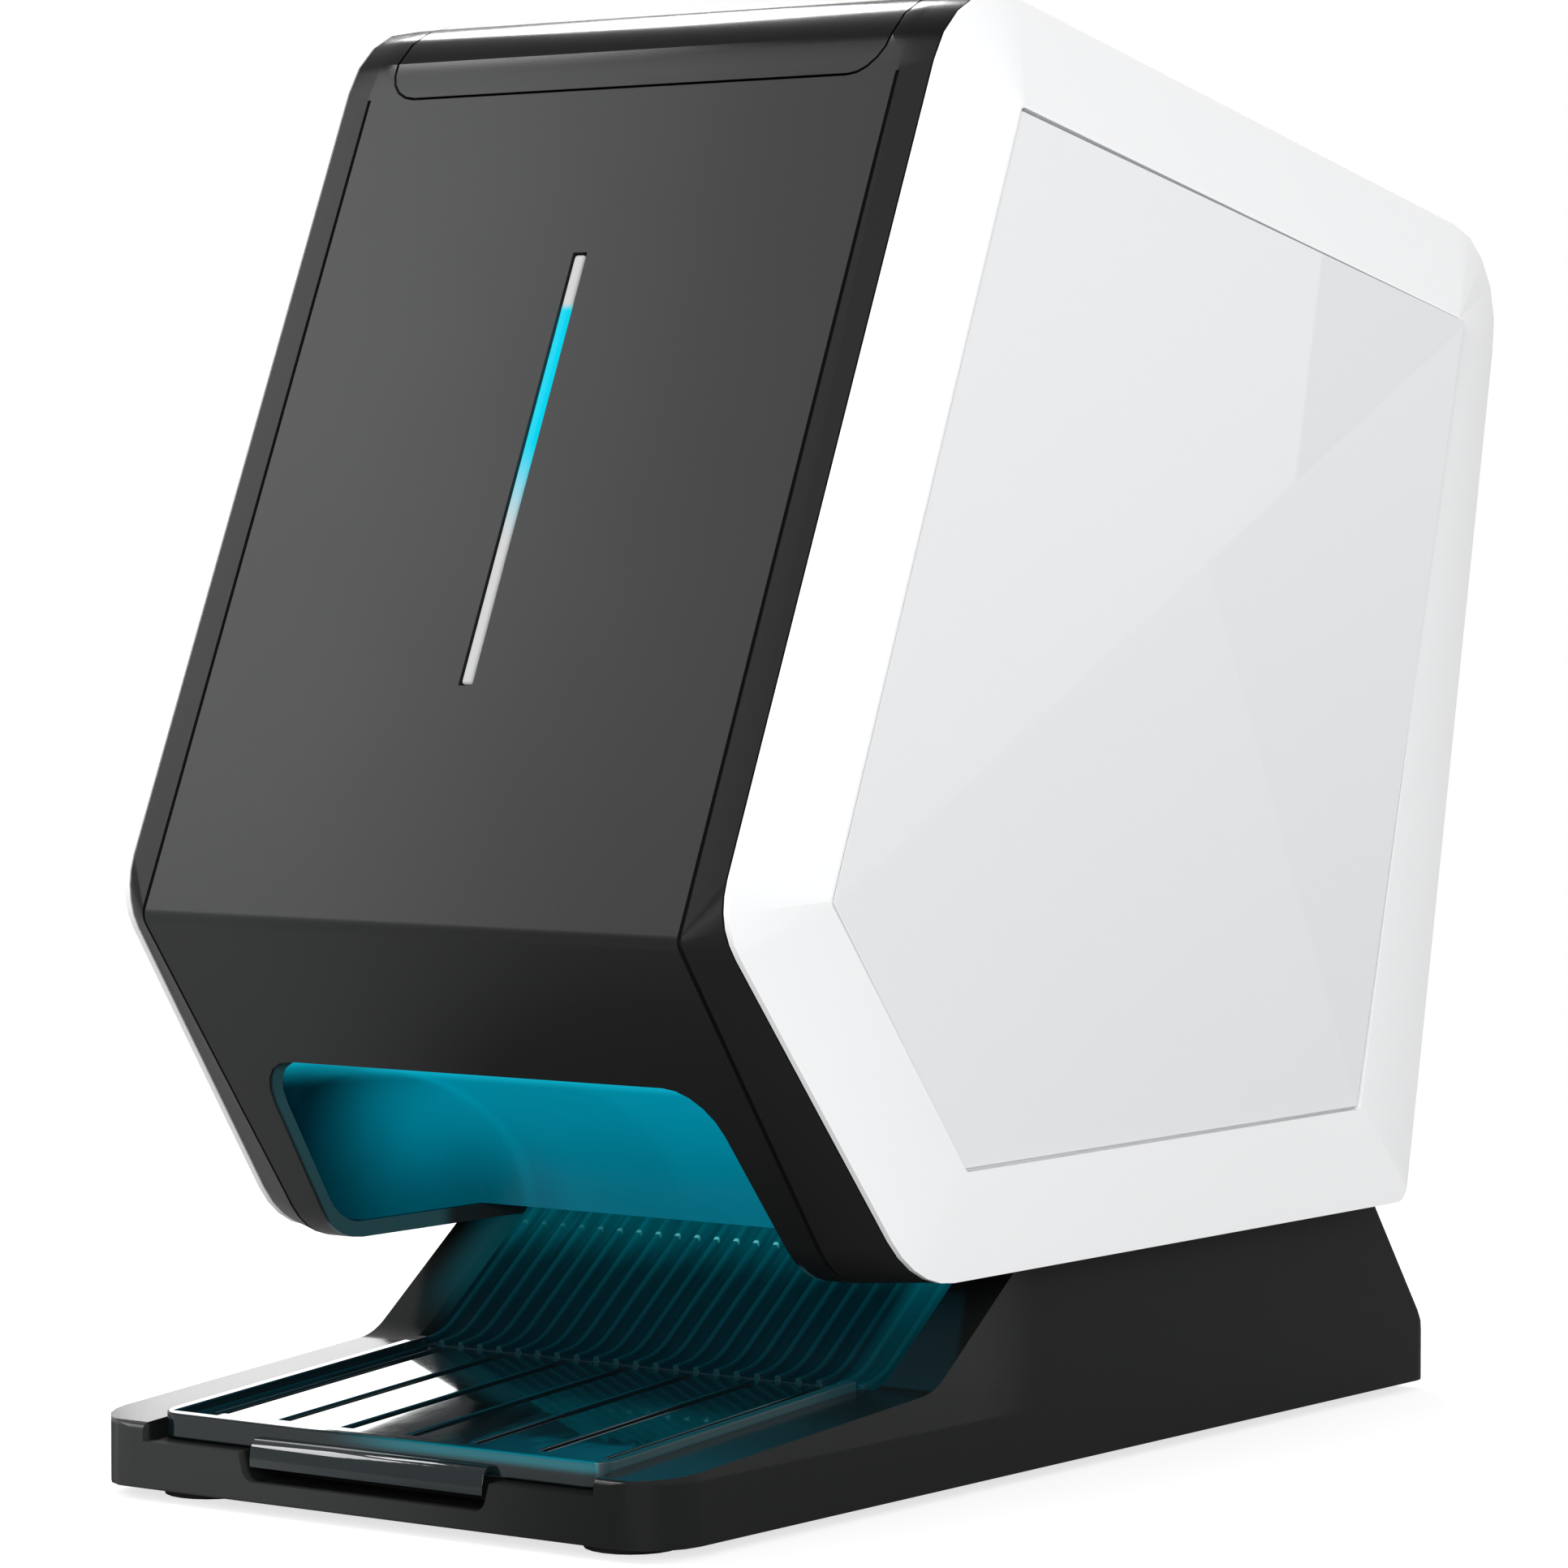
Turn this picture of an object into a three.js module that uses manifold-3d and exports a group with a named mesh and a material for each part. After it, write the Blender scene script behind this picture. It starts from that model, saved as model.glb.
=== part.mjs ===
// Desktop scanner for dental phosphor imaging plates.
// Millimetres, +Z up, front towards -Y, +X to the user's right.
// Side profiles are written as [y, z]: y back from the front edge of the base, z up from the table.
// One outer group then moves the whole scanner so that its origin is the middle of its footprint.
import * as THREE from 'three'
import { mergeVertices } from 'three/addons/utils/BufferGeometryUtils.js'
import Module from 'manifold-3d'

const wasm = await Module()
wasm.setup()

// General clearances and walls
const fitGap = 0.3
const runGap = 0.8
const cutOver = 2
const coverWall = 2.6
const weldShare = 1e-5
const cornerSteps = 5
const roundSides = 20
const rollerSides = 18
const barSides = 14
const boreSides = 10

// Base: a low bed in front that rises into the neck under the head
const footHeight = 2
const baseHalfWidth = 57.8
const baseDepth = 227.3
const baseWall = 2.4
const bedFrontHeight = 9.6
const bedRiseShare = 0.0757
const rimHeight = 2.8
const rimRound = 1.4
const planRadius = 10
const neckFootDepth = 71.1
const neckTopFront = 95.3
const neckRearRun = 21.1
const neckTopBack = baseDepth - neckRearRun
const neckFillet = 12
const baseRearHeight = 8.1
const neckWallThickness = 10
const neckRearShare = 1.3
const notchHalfWidth = 24
const notchDrop = 4.4
const notchDepth = 9

// Head: side outline, given by its five corners where the dark body meets the side shells
const headBottom = 36.3
const headTopFront = { y: 74, z: 241 }
const headNose = { y: 11.4, z: 95.1 }
const headChin = { y: 55.8, z: headBottom }
const headHeel = { y: 205.3, z: headBottom }
const crownFall = 37
const headCrown = { y: 247, z: headTopFront.z - crownFall }
const headRadii = { topFront: 19, nose: 12, chin: 20, heel: 4, crown: 18 }

// Fascia: the front faces stand a little proud of that outline, with a sharp crease
const topProud = { y: 0.8, z: 0.2 }
const creaseProud = { y: 1.8, z: 3.2 }
const chinProud = 5.8
const fasciaTopFront = { y: headTopFront.y - topProud.y, z: headTopFront.z + topProud.z }
const fasciaCrease = { y: headNose.y - creaseProud.y, z: headNose.z - creaseProud.z }
const fasciaChin = { y: headChin.y - chinProud, z: headBottom }
const fasciaRadii = { topFront: 19, nose: 2.5, chin: 14, heel: 4, crown: 18 }
const fasciaHalfWidth = 53.8
const bodyHalfWidth = 59.4
const flareShare = 0.078
const grooveWidth = 0.7
const grooveDepth = 0.7
const splitBehindTop = 20
const splitBehindChin = 18.2
const coverSplitTop = headTopFront.y + splitBehindTop
const coverSplitBottom = headChin.y + splitBehindChin

// Side shells and their faceted panels, in side view
const shellPlane = 65.4
const shellEdge = 1
const shellWall = 2.2
const panelRecess = 1.6
const browFront = { y: 9.7, z: 20.3 }
const browBack = { y: 23.7, z: 12.7 }
const heelBorder = { y: 15.8, z: 16.9 }
const chinBorder = { y: 13.2, z: 16.5 }
const noseBorder = { y: 20.9, z: 2.1 }
const ridgeFrontShares = { y: 0.555, z: 0.5665 }
const ridgeBackShares = { y: 0.702, z: 0.6624 }
const topBreakShare = 0.6526
const panelTopFront = { y: headTopFront.y + browFront.y, z: headTopFront.z - browFront.z }
const panelTopBack = { y: headCrown.y - browBack.y, z: headCrown.z - browBack.z }
const panelHeel = { y: headHeel.y - heelBorder.y, z: headBottom + heelBorder.z }
const panelChin = { y: headChin.y + chinBorder.y, z: headBottom + chinBorder.z }
const panelNose = { y: headNose.y + noseBorder.y, z: headNose.z + noseBorder.z }
const panelShadowGap = 0.5
const panelSeat = 64.2
const ridgeFrontLift = 1.8
const topFrontLift = 0.8
const noseLift = 1
const heelLift = 0.8

// Lid over the insertion slot, wrapping round the top front edge of the head
const lidHalfWidth = 50.1
const lidFrontDrop = 15.8
const lidLowEdge = headTopFront.z - lidFrontDrop
const lidCornerRadius = 6
const lidWall = 2.2
const lidSeam = 0.4
const hingeBehindTop = 60.6
const hingeDepth = headTopFront.y + hingeBehindTop
const hingeSink = 2.4
const barrelRadius = 2.1
const hingePinRadius = 1.1
const barrelHalfWidth = 46

// Plate path: a vertical slot down through the head, wide enough for the largest dental plate
const pathDepth = 102.3
const pathGap = 3
const throatGap = 4.8
const pathHalfWidth = 31.2
const mouthGap = 11
const mouthHalfWidth = 34
const guideBelowTop = 36
const guideTop = headTopFront.z - guideBelowTop
const guideBottom = 54
const guideSheet = 1.5

// Exit bay under the head, its lit hood and the ramp below
const bayTop = 68.2
const bayFront = 27.1
const bayReach = 60.7
const bayDrop = 29
const bayHalfWidthTop = 45
const bayHalfWidthLow = 48.1
const bayCorner = 8
const hoodWall = 2
const hoodSteps = 9
const rampRecess = 3.2
const rampTop = 45
const rampSheet = 2
const rampFootLength = 5.5
const rampToe = neckFootDepth + rampRecess - rampFootLength
const ribPitch = 4.1
const ribWidth = 1.2
const ribHeight = 0.8

// Collection tray
const trayHalfWidth = 45
const trayFront = 3
const trayBack = rampToe - runGap
const trayFloor = 2.4
const trayLip = 1.5
const trayLipWidth = 2
const trayGroovePitch = 13
const trayGrooveWidth = 2.2
const trayGrooveDepth = 0.9
const trayGrooveStart = 12

// Light bar in the front face, measured up the slope from the crease
const lightBarStart = 41
const lightBarLength = 74
const lightBarWidth = 2.2
const lightBarDepth = 3.4

// Drive train: three roller pairs round the scan line
const scanShare = 0.2392
const scanHeight = headNose.z + (headTopFront.z - headNose.z) * scanShare
const infeedShare = 0.64
const infeedHeight = scanHeight + (guideTop - scanHeight) * infeedShare
const rollerSpread = 14
const driveRollerRadius = 6
const pinchRollerRadius = 5
const rollerPathGap = 0.4
const rollerHalfLength = 30
const driveShaftRadius = 2.5
const pinchShaftRadius = 2
const chassisHalfWidth = 37
const chassisSheet = 2
const pulleyRadius = 7
const motorPulleyRadius = 5
const pulleyWidth = 6
const pulleyFlange = 1
const beltSheet = 1.2
const motorBehindRollers = 29.3
const motorBelowShelf = 8
const motorSize = 28
const motorChamfer = 3.5
const motorLength = 24
const motorShaftRadius = 1.5
const bushRadius = 4
const bushFlange = 5.2
const springSheet = 0.6
const springWidth = 4

// Chassis, optics and detector
const chassisAhead = 14.3
const chassisFootBehind = 10.7
const chassisShoulderBehind = 15.7
const chassisFront = pathDepth - chassisAhead
const chassisFoot = pathDepth + chassisFootBehind
const chassisShoulder = pathDepth + chassisShoulderBehind
const chassisHeelGap = 15.3
const chassisBack = headHeel.y - chassisHeelGap
const chassisTop = guideTop
const chassisBackDrop = 40
const chassisBackTop = chassisTop - chassisBackDrop
const floorSheet = 2
const barRadius = 3
const shelfBelowScan = 9
const opticsTop = scanHeight - shelfBelowScan
const opticsSheet = 3
const opticsBehindPath = 23.7
const opticsBack = chassisBack - chassisSheet
const opticsFront = pathDepth + opticsBehindPath
const polygonAheadOfBack = 14.6
const polygonDepth = opticsBack - polygonAheadOfBack
const polygonSides = 6
const polygonRadius = 11
const polygonHeight = 6
const polygonMotorRadius = 14
const polygonMotorHeight = 4
const spindleRadius = 1.5
const lensAheadOfPolygon = 29.4
const lensDepth = polygonDepth - lensAheadOfPolygon
const lensSheet = 6
const lensHalfWidth = 24
const lensHeight = 14
const lensBow = 4
const laserRadius = 5
const laserLength = 22
const laserAheadOfPolygon = 7.4
const detectorRadius = 12
const detectorLength = 44
const detectorTilt = 38
const detectorBack = 43.7
const detectorRise = 27
const detectorFace = { y: pathDepth + detectorBack, z: scanHeight + detectorRise }
const guideRise = 4
const guideBend = { ahead: 16, down: 13, halfWidth: 16, halfHeight: 4 }
const guideEndShares = { width: 0.7, height: 0.6 }
const lampBoardHeight = 26
const lampBelowRollers = 13
const lampTop = scanHeight - rollerSpread - pinchRollerRadius - lampBelowRollers
const lampBottom = lampTop - lampBoardHeight
const lampsEachSide = 3
const lampPitch = 7.75
const lampMargin = 6.4
const boardSheet = 1.6

// Rear wall fittings, measured up the rear wall from its foot
const connectorPanelLow = 16
const connectorPanelHeight = 34
const connectorPanelHalfWidth = 38
const connectorSheet = 2
const inletRadius = 4.5
const inletBoreShare = 0.62
const connectorBoardDepth = 24
const sockets = {
  inlet: { x: 24, width: 14, height: 14, depth: 14 },
  network: { x: 2, width: 16, height: 13.5, depth: 16, wallShare: 0.12, tongueShare: 1 },
  usb: { x: -16, width: 12, height: 11, depth: 14, wallShare: 0.1, tongueShare: 0.5 },
}
const buttonPlace = -30
const powerButtonRadius = 5
const powerButtonTravel = 1.5
const mainBoardLow = 60
const mainBoardTopGap = 16.80677
const rearWallLength = Math.hypot(headCrown.y - headHeel.y, headCrown.z - headHeel.z)
const mainBoardHeight = rearWallLength - mainBoardLow - mainBoardTopGap
const mainBoardHalfWidth = 42
const standoffHeight = 6
const standoffRadius = 3
const standoffShares = [0.06, 0.94]
const canShares = [0.75, 0.88]
const chipShares = [
  { across: -0.6, up: 0.3, size: 0.22, thick: 1.5 },
  { across: 0.1, up: 0.55, size: 0.3, thick: 1 },
  { across: 0.6, up: 0.2, size: 0.16, thick: 2.5 },
  { across: -0.5, up: 0.75, size: 0.14, thick: 2 },
]

// Feet and screws
const footRadius = 7.5
const footInset = 15.3
const footFront = 13
const footRearInset = 25.3
const footBack = baseDepth - footRearInset
const footSink = 0.8
const screwRadius = 1.5
const screwHeadRadius = 2.8
const screwHeadHeight = 1.8
const plateScrewInset = 9.6
const plateScrewFront = 58
const plateScrewRearInset = 31.3
const plateScrewDepths = [plateScrewFront, baseDepth - plateScrewRearInset]
const neckScrewInset = 8.4
const neckScrewSetIn = 8.5
const neckScrewDepths = [chassisFoot + neckScrewSetIn, chassisBack - neckScrewSetIn]

// Materials
const paint = {
  charcoal: { color: 0x3b3c3c, roughness: 0.45, metalness: 0.1 },
  baseBlack: { color: 0x1c1d1e, roughness: 0.5, metalness: 0.05 },
  white: { color: 0xf2f3f3, roughness: 0.35, metalness: 0 },
  panelGrey: { color: 0xdfe1e2, roughness: 0.4, metalness: 0 },
  glossBlack: { color: 0x101213, roughness: 0.12, metalness: 0 },
  teal: { color: 0x0a6f80, roughness: 0.3, metalness: 0 },
  diffuser: { color: 0xc8f0f4, roughness: 0.3, metalness: 0 },
  rubber: { color: 0x1b1b1b, roughness: 0.9, metalness: 0 },
  steel: { color: 0xa9adb0, roughness: 0.35, metalness: 1 },
  aluminium: { color: 0xbfc3c6, roughness: 0.4, metalness: 1 },
  brass: { color: 0xb89b58, roughness: 0.35, metalness: 1 },
  acrylic: { color: 0xd8ecf4, roughness: 0.05, metalness: 0 },
  mirror: { color: 0xe8eaec, roughness: 0.03, metalness: 1 },
  board: { color: 0x1c5a36, roughness: 0.5, metalness: 0 },
  innerPlastic: { color: 0x2a2b2d, roughness: 0.6, metalness: 0 },
}

const degrees = Math.PI / 180

// Solids and meshes
function toSolid(geometry) {
  const bare = geometry.index ? geometry.toNonIndexed() : geometry.clone()
  bare.deleteAttribute('normal')
  bare.deleteAttribute('uv')
  const merged = mergeVertices(bare, coverWall * weldShare)
  const vertProperties = Float32Array.from(merged.attributes.position.array)
  const triVerts = Uint32Array.from(merged.index.array)
  return new wasm.Manifold(new wasm.Mesh({ numProp: 3, vertProperties, triVerts }))
}

function toGeometry(solid) {
  const mesh = solid.getMesh()
  const geometry = new THREE.BufferGeometry()
  const places = Float32Array.from(mesh.vertProperties)
  geometry.setAttribute('position', new THREE.BufferAttribute(places, mesh.numProp))
  geometry.setIndex(new THREE.BufferAttribute(Uint32Array.from(mesh.triVerts), 1))
  geometry.computeVertexNormals()
  return geometry
}

function join(solids) {
  return solids.reduce((sum, solid) => sum.add(solid))
}

function piece(name, shape, look) {
  const geometry = shape.isBufferGeometry ? shape : toGeometry(shape)
  const mesh = new THREE.Mesh(geometry, new THREE.MeshStandardMaterial(look))
  mesh.name = name
  return mesh
}

// Basic solids
function box(x0, x1, y0, y1, z0, z1) {
  const geometry = new THREE.BoxGeometry(x1 - x0, y1 - y0, z1 - z0)
  geometry.translate((x0 + x1) / 2, (y0 + y1) / 2, (z0 + z1) / 2)
  return toSolid(geometry)
}

function cylinderX(radius, x0, x1, y, z, sides = roundSides) {
  const geometry = new THREE.CylinderGeometry(radius, radius, x1 - x0, sides)
  geometry.rotateZ(Math.PI / 2)
  geometry.translate((x0 + x1) / 2, y, z)
  return toSolid(geometry)
}

function cylinderY(radius, x, y0, y1, z, sides = roundSides) {
  const geometry = new THREE.CylinderGeometry(radius, radius, y1 - y0, sides)
  geometry.translate(x, (y0 + y1) / 2, z)
  return toSolid(geometry)
}

function cylinderZ(radius, x, y, z0, z1, sides = roundSides) {
  const geometry = new THREE.CylinderGeometry(radius, radius, z1 - z0, sides)
  geometry.rotateX(Math.PI / 2)
  geometry.translate(x, y, (z0 + z1) / 2)
  return toSolid(geometry)
}

// A side profile drawn as [y, z] points and pushed out from x0 to x1
function sideSolid(points, x0, x1) {
  const shape = new THREE.Shape(points.map(([y, z]) => new THREE.Vector2(y, z)))
  const geometry = new THREE.ExtrudeGeometry(shape, { depth: x1 - x0, bevelEnabled: false })
  geometry.translate(0, 0, x0)
  const basis = new THREE.Matrix4().makeBasis(
    new THREE.Vector3(0, 1, 0),
    new THREE.Vector3(0, 0, 1),
    new THREE.Vector3(1, 0, 0),
  )
  return toSolid(geometry.applyMatrix4(basis))
}

// A front profile drawn as [x, z] points and pushed back from y0 to y1
function frontSolid(points, y0, y1) {
  const shape = new THREE.Shape(points.map(([x, z]) => new THREE.Vector2(x, z)))
  const geometry = new THREE.ExtrudeGeometry(shape, { depth: y1 - y0, bevelEnabled: false })
  geometry.rotateX(Math.PI / 2)
  geometry.translate(0, y1, 0)
  return toSolid(geometry)
}

// A plan drawn as [x, y] points and pushed up from z0 to z1
function planSolid(points, z0, z1) {
  const shape = new THREE.Shape(points.map(([x, y]) => new THREE.Vector2(x, y)))
  const geometry = new THREE.ExtrudeGeometry(shape, { depth: z1 - z0, bevelEnabled: false })
  geometry.translate(0, 0, z0)
  return toSolid(geometry)
}

// Outlines: corners run anticlockwise, each with its own radius, and a radius of zero stays sharp
function roundedOutline(corners, radii, steps = cornerSteps) {
  const outline = []
  corners.forEach((corner, i) => {
    if (radii[i] === 0) {
      outline.push(corner)
      return
    }
    const before = new THREE.Vector2(...corners[(i + corners.length - 1) % corners.length])
    const after = new THREE.Vector2(...corners[(i + 1) % corners.length])
    const here = new THREE.Vector2(...corner)
    const toBefore = before.clone().sub(here).normalize()
    const toAfter = after.clone().sub(here).normalize()
    const half = Math.acos(THREE.MathUtils.clamp(toBefore.dot(toAfter), -1, 1)) / 2
    const reach = radii[i] / Math.tan(half)
    const start = here.clone().addScaledVector(toBefore, reach)
    const end = here.clone().addScaledVector(toAfter, reach)
    const toCentre = toBefore.clone().add(toAfter).normalize()
    const centre = here.clone().addScaledVector(toCentre, radii[i] / Math.sin(half))
    const from = start.clone().sub(centre)
    const to = end.clone().sub(centre)
    const turn = Math.atan2(from.cross(to), from.dot(to))
    for (let k = 0; k <= steps; k += 1) {
      const point = from.clone().rotateAround(new THREE.Vector2(), (turn * k) / steps).add(centre)
      outline.push([point.x, point.y])
    }
  })
  return outline
}

// Corners moved inwards by one distance on every edge
function insetCorners(corners, distance) {
  const count = corners.length
  const lines = corners.map((corner, i) => {
    const next = corners[(i + 1) % count]
    const along = new THREE.Vector2(next[0] - corner[0], next[1] - corner[1]).normalize()
    const inward = new THREE.Vector2(-along.y, along.x)
    return { point: new THREE.Vector2(...corner).addScaledVector(inward, distance), along }
  })
  return corners.map((corner, i) => {
    const first = lines[(i + count - 1) % count]
    const second = lines[i]
    const gap = second.point.clone().sub(first.point)
    const t = gap.cross(second.along) / first.along.cross(second.along)
    const point = first.point.clone().addScaledVector(first.along, t)
    return [point.x, point.y]
  })
}

// A skin over rings of equal point count; rings run towards +X and turn anticlockwise seen from +X
function loft(rings) {
  const count = rings[0].length
  const positions = rings.flat(2)
  const index = []
  for (let r = 0; r + 1 < rings.length; r += 1) {
    for (let i = 0; i < count; i += 1) {
      const a = r * count + i
      const b = r * count + ((i + 1) % count)
      index.push(a, b, b + count, a, b + count, a + count)
    }
  }
  const capOf = (ring, start, flip) => {
    const flat = ring.map((point) => new THREE.Vector2(point[1], point[2]))
    THREE.ShapeUtils.triangulateShape(flat, []).forEach(([a, b, c]) => {
      const area = flat[b].clone().sub(flat[a]).cross(flat[c].clone().sub(flat[a]))
      const forward = area > 0 !== flip
      index.push(...(forward ? [start + a, start + b, start + c] : [start + a, start + c, start + b]))
    })
  }
  capOf(rings[0], 0, true)
  capOf(rings[rings.length - 1], (rings.length - 1) * count, false)
  const geometry = new THREE.BufferGeometry()
  geometry.setAttribute('position', new THREE.Float32BufferAttribute(positions, 3))
  geometry.setIndex(index)
  return toSolid(geometry)
}

function ringAt(outline, sideOf) {
  return outline.map(([y, z]) => [sideOf(y, z), y, z])
}

function mirrored(solid) {
  return solid.mirror([1, 0, 0])
}

// Lines of the design that several pieces share
function bedLine(y) {
  return bedFrontHeight + bedRiseShare * y
}

function rimLine(y) {
  return bedLine(y) + rimHeight
}

const neckSlope = (headBottom - rimLine(neckFootDepth)) / (neckTopFront - neckFootDepth)

function neckLine(y) {
  return headBottom + neckSlope * (y - neckTopFront)
}

function rampLine(y) {
  return neckLine(y - rampRecess)
}

const pointOf = (corner) => [corner.y, corner.z]
const bodyCorners = [headTopFront, headNose, headChin, headHeel, headCrown].map(pointOf)
const fasciaCorners = [fasciaTopFront, fasciaCrease, fasciaChin, headHeel, headCrown].map(pointOf)
const bodyRadii = Object.values(headRadii)
const fasciaRadiusList = Object.values(fasciaRadii)
const frontLean = Math.atan2(fasciaTopFront.y - fasciaCrease.y, fasciaTopFront.z - fasciaCrease.z)
const rearLean = Math.atan2(headCrown.y - headHeel.y, headCrown.z - headHeel.z)
const headTopFall = (headCrown.z - headTopFront.z) / (headCrown.y - headTopFront.y)
const hingeHeight = headTopFront.z + headTopFall * (hingeDepth - headTopFront.y) - hingeSink
const beyondHead = headCrown.z + headTopFront.y

// Side edge of the dark body: straight above the nose, flaring below it
function bodySide(z) {
  return bodyHalfWidth + flareShare * Math.max(0, headNose.z - z)
}

// An outline inset evenly by a distance, with its radii drawn in as far
function insetOutline(corners, radii, inset) {
  const tighter = radii.map((radius) => Math.max(radius - inset, fitGap))
  return roundedOutline(insetCorners(corners, inset), tighter)
}

// The head as one solid, inset evenly by a distance and pushed past its sides for cutting
function headSolid(inset, past = 0) {
  const body = insetOutline(bodyCorners, bodyRadii, inset)
  const fascia = insetOutline(fasciaCorners, fasciaRadiusList, inset)
  return loft([
    ringAt(body, (y, z) => -bodySide(z) - past),
    ringAt(fascia, () => -fasciaHalfWidth),
    ringAt(fascia, () => fasciaHalfWidth),
    ringAt(body, (y, z) => bodySide(z) + past),
  ])
}

// Places of the screws that hold the bottom plate, and of those that hold the head on the neck
function pairedPlaces(across, depths) {
  return [-1, 1].flatMap((side) => depths.map((y) => [side * across, y]))
}

const plateScrewPlaces = pairedPlaces(baseHalfWidth - plateScrewInset, plateScrewDepths)
const neckScrewPlaces = pairedPlaces(chassisHalfWidth - neckScrewInset, neckScrewDepths)

// Upright rods of one radius at a list of places, for bosses and for holes
function rodsAt(places, radius, low, high, sides) {
  return join(places.map(([x, y]) => cylinderZ(radius, x, y, low, high, sides)))
}

function neckScrewHoles() {
  return rodsAt(neckScrewPlaces, screwRadius + fitGap, footHeight, headNose.z / 2, boreSides)
}

// Frames lying in the leaning front and rear faces: x across, y inwards or outwards, z up the slope
const frontFrame = new THREE.Matrix4().makeTranslation(0, fasciaCrease.y, fasciaCrease.z)
frontFrame.multiply(new THREE.Matrix4().makeRotationX(-frontLean))
const rearFrame = new THREE.Matrix4().makeTranslation(0, headHeel.y, headHeel.z)
rearFrame.multiply(new THREE.Matrix4().makeRotationX(-rearLean))

function inFrame(solid, frame) {
  return solid.transform(frame.elements)
}

// The part of the head that belongs to the lid, grown by the seam for the opening in the covers
function lidBlock(grow) {
  const width = lidHalfWidth + grow
  const low = lidLowEdge - grow
  const corners = [[-width, low], [width, low], [width, beyondHead], [-width, beyondHead]]
  const radius = lidCornerRadius + grow
  const outline = roundedOutline(corners, [radius, radius, fitGap, fitGap])
  const breakDepth = headTopFront.y + headRadii.topFront / 2
  const front = frontSolid(outline, 0, breakDepth + cutOver)
  const back = box(-width, width, breakDepth, hingeDepth + grow, low - headRadii.topFront, beyondHead)
  return front.add(back)
}

function lidOpening() {
  const channel = hingeSink + 3 * fitGap
  const end = barrelHalfWidth + fitGap
  return lidBlock(lidSeam).add(cylinderX(channel, -end, end, hingeDepth, hingeHeight))
}

// The exit bay: sections that sink and narrow towards the back along a quarter ellipse
function bayWidth(z) {
  const share = (bayTop - z) / (bayTop - headBottom)
  return bayHalfWidthTop + (bayHalfWidthLow - bayHalfWidthTop) * share
}

function bayRing(depth, top, grow) {
  const low = headBottom - 2 * cutOver
  const corners = [
    [-bayWidth(low) - grow, low],
    [bayWidth(low) + grow, low],
    [bayWidth(top - grow) + grow, top],
    [-bayWidth(top - grow) - grow, top],
  ]
  const radius = Math.min(bayCorner, (top - low) / 3) + grow / 2
  return roundedOutline(corners, [fitGap, fitGap, radius, radius]).map(([x, z]) => [depth, x, z])
}

function bayRings(grow) {
  const base = bayTop - bayDrop
  const rings = []
  for (let k = 0; k <= hoodSteps; k += 1) {
    const t = (k / hoodSteps) * (Math.PI / 2)
    const depth = bayFront + (bayReach + grow) * Math.sin(t)
    rings.push(bayRing(depth, base + (bayDrop + grow) * Math.cos(t), grow))
  }
  return rings
}

function bayCut() {
  const rings = bayRings(0)
  return loft([bayRing(-cutOver, bayTop, 0), ...rings]).rotate([0, 0, 90])
}

function exitHood() {
  const outer = loft(bayRings(hoodWall)).rotate([0, 0, 90])
  return outer.subtract(bayCut()).intersect(headSolid(coverWall + fitGap))
}

// Gap in the head floor behind the hood, where the ramp comes up
const rampPassBack = pathDepth + rampSheet + pathGap

function rampPass() {
  const front = bayFront + bayReach / 2
  const half = bayHalfWidthLow
  return box(-half, half, front, rampPassBack, headBottom - cutOver, bayTop - bayDrop)
}

// Reveal grooves that frame the fascia
function fasciaGrooves() {
  const low = fasciaHalfWidth - grooveWidth / 2
  const high = fasciaHalfWidth + grooveWidth / 2
  const strip = box(low, high, 0, headTopFront.y, 0, lidLowEdge).subtract(headSolid(grooveDepth))
  return strip.add(mirrored(strip))
}

function lightSlot() {
  const half = lightBarWidth / 2 + fitGap
  const end = lightBarStart + lightBarLength + fitGap
  return inFrame(box(-half, half, -cutOver, 2 * coverWall, lightBarStart - fitGap, end), frontFrame)
}

// Front and rear covers meet on a joint over the top and one under the chin
function coverRegion(front) {
  const shift = front ? -fitGap / 2 : fitGap / 2
  const side = front ? -headCrown.y : 2 * headCrown.y
  return sideSolid([
    [coverSplitTop + shift, beyondHead],
    [side, beyondHead],
    [side, 0],
    [coverSplitBottom + shift, 0],
    [coverSplitBottom + shift, headNose.z],
    [coverSplitTop + shift, panelTopFront.z],
  ], -beyondHead, beyondHead)
}

function coverBand() {
  return headSolid(0).subtract(headSolid(coverWall, cutOver)).subtract(lidOpening()).subtract(bayCut())
}

function frontCover() {
  return coverBand().intersect(coverRegion(true)).subtract(fasciaGrooves()).subtract(lightSlot())
}

// Ears that hold the ends of the lid's hinge pin
function hingeEar() {
  const inner = barrelHalfWidth + fitGap
  const outer = lidHalfWidth + lidSeam + coverWall
  const low = hingeHeight - barrelRadius
  const round = cylinderX(barrelRadius, inner, outer, hingeDepth, hingeHeight)
  const tail = box(inner, outer, hingeDepth, hingeDepth + 2 * barrelRadius, low, hingeHeight + barrelRadius)
  return round.add(tail).intersect(headSolid(fitGap))
}

function connectorWindow() {
  const half = connectorPanelHalfWidth + fitGap
  const low = connectorPanelLow - fitGap
  const high = connectorPanelLow + connectorPanelHeight + fitGap
  return inFrame(box(-half, half, -2 * coverWall, cutOver, low, high), rearFrame)
}

// Standoffs for the main board, grown from the inside of the rear wall
function boardStandoffs() {
  const posts = []
  for (const x of [-1, 1]) {
    for (const share of standoffShares) {
      const across = x * (mainBoardHalfWidth - 2 * standoffRadius)
      const up = mainBoardLow + mainBoardHeight * share
      const tip = -coverWall - standoffHeight
      posts.push(cylinderY(standoffRadius, across, tip, -coverWall / 2, up, boreSides))
    }
  }
  return inFrame(join(posts), rearFrame)
}

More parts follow.
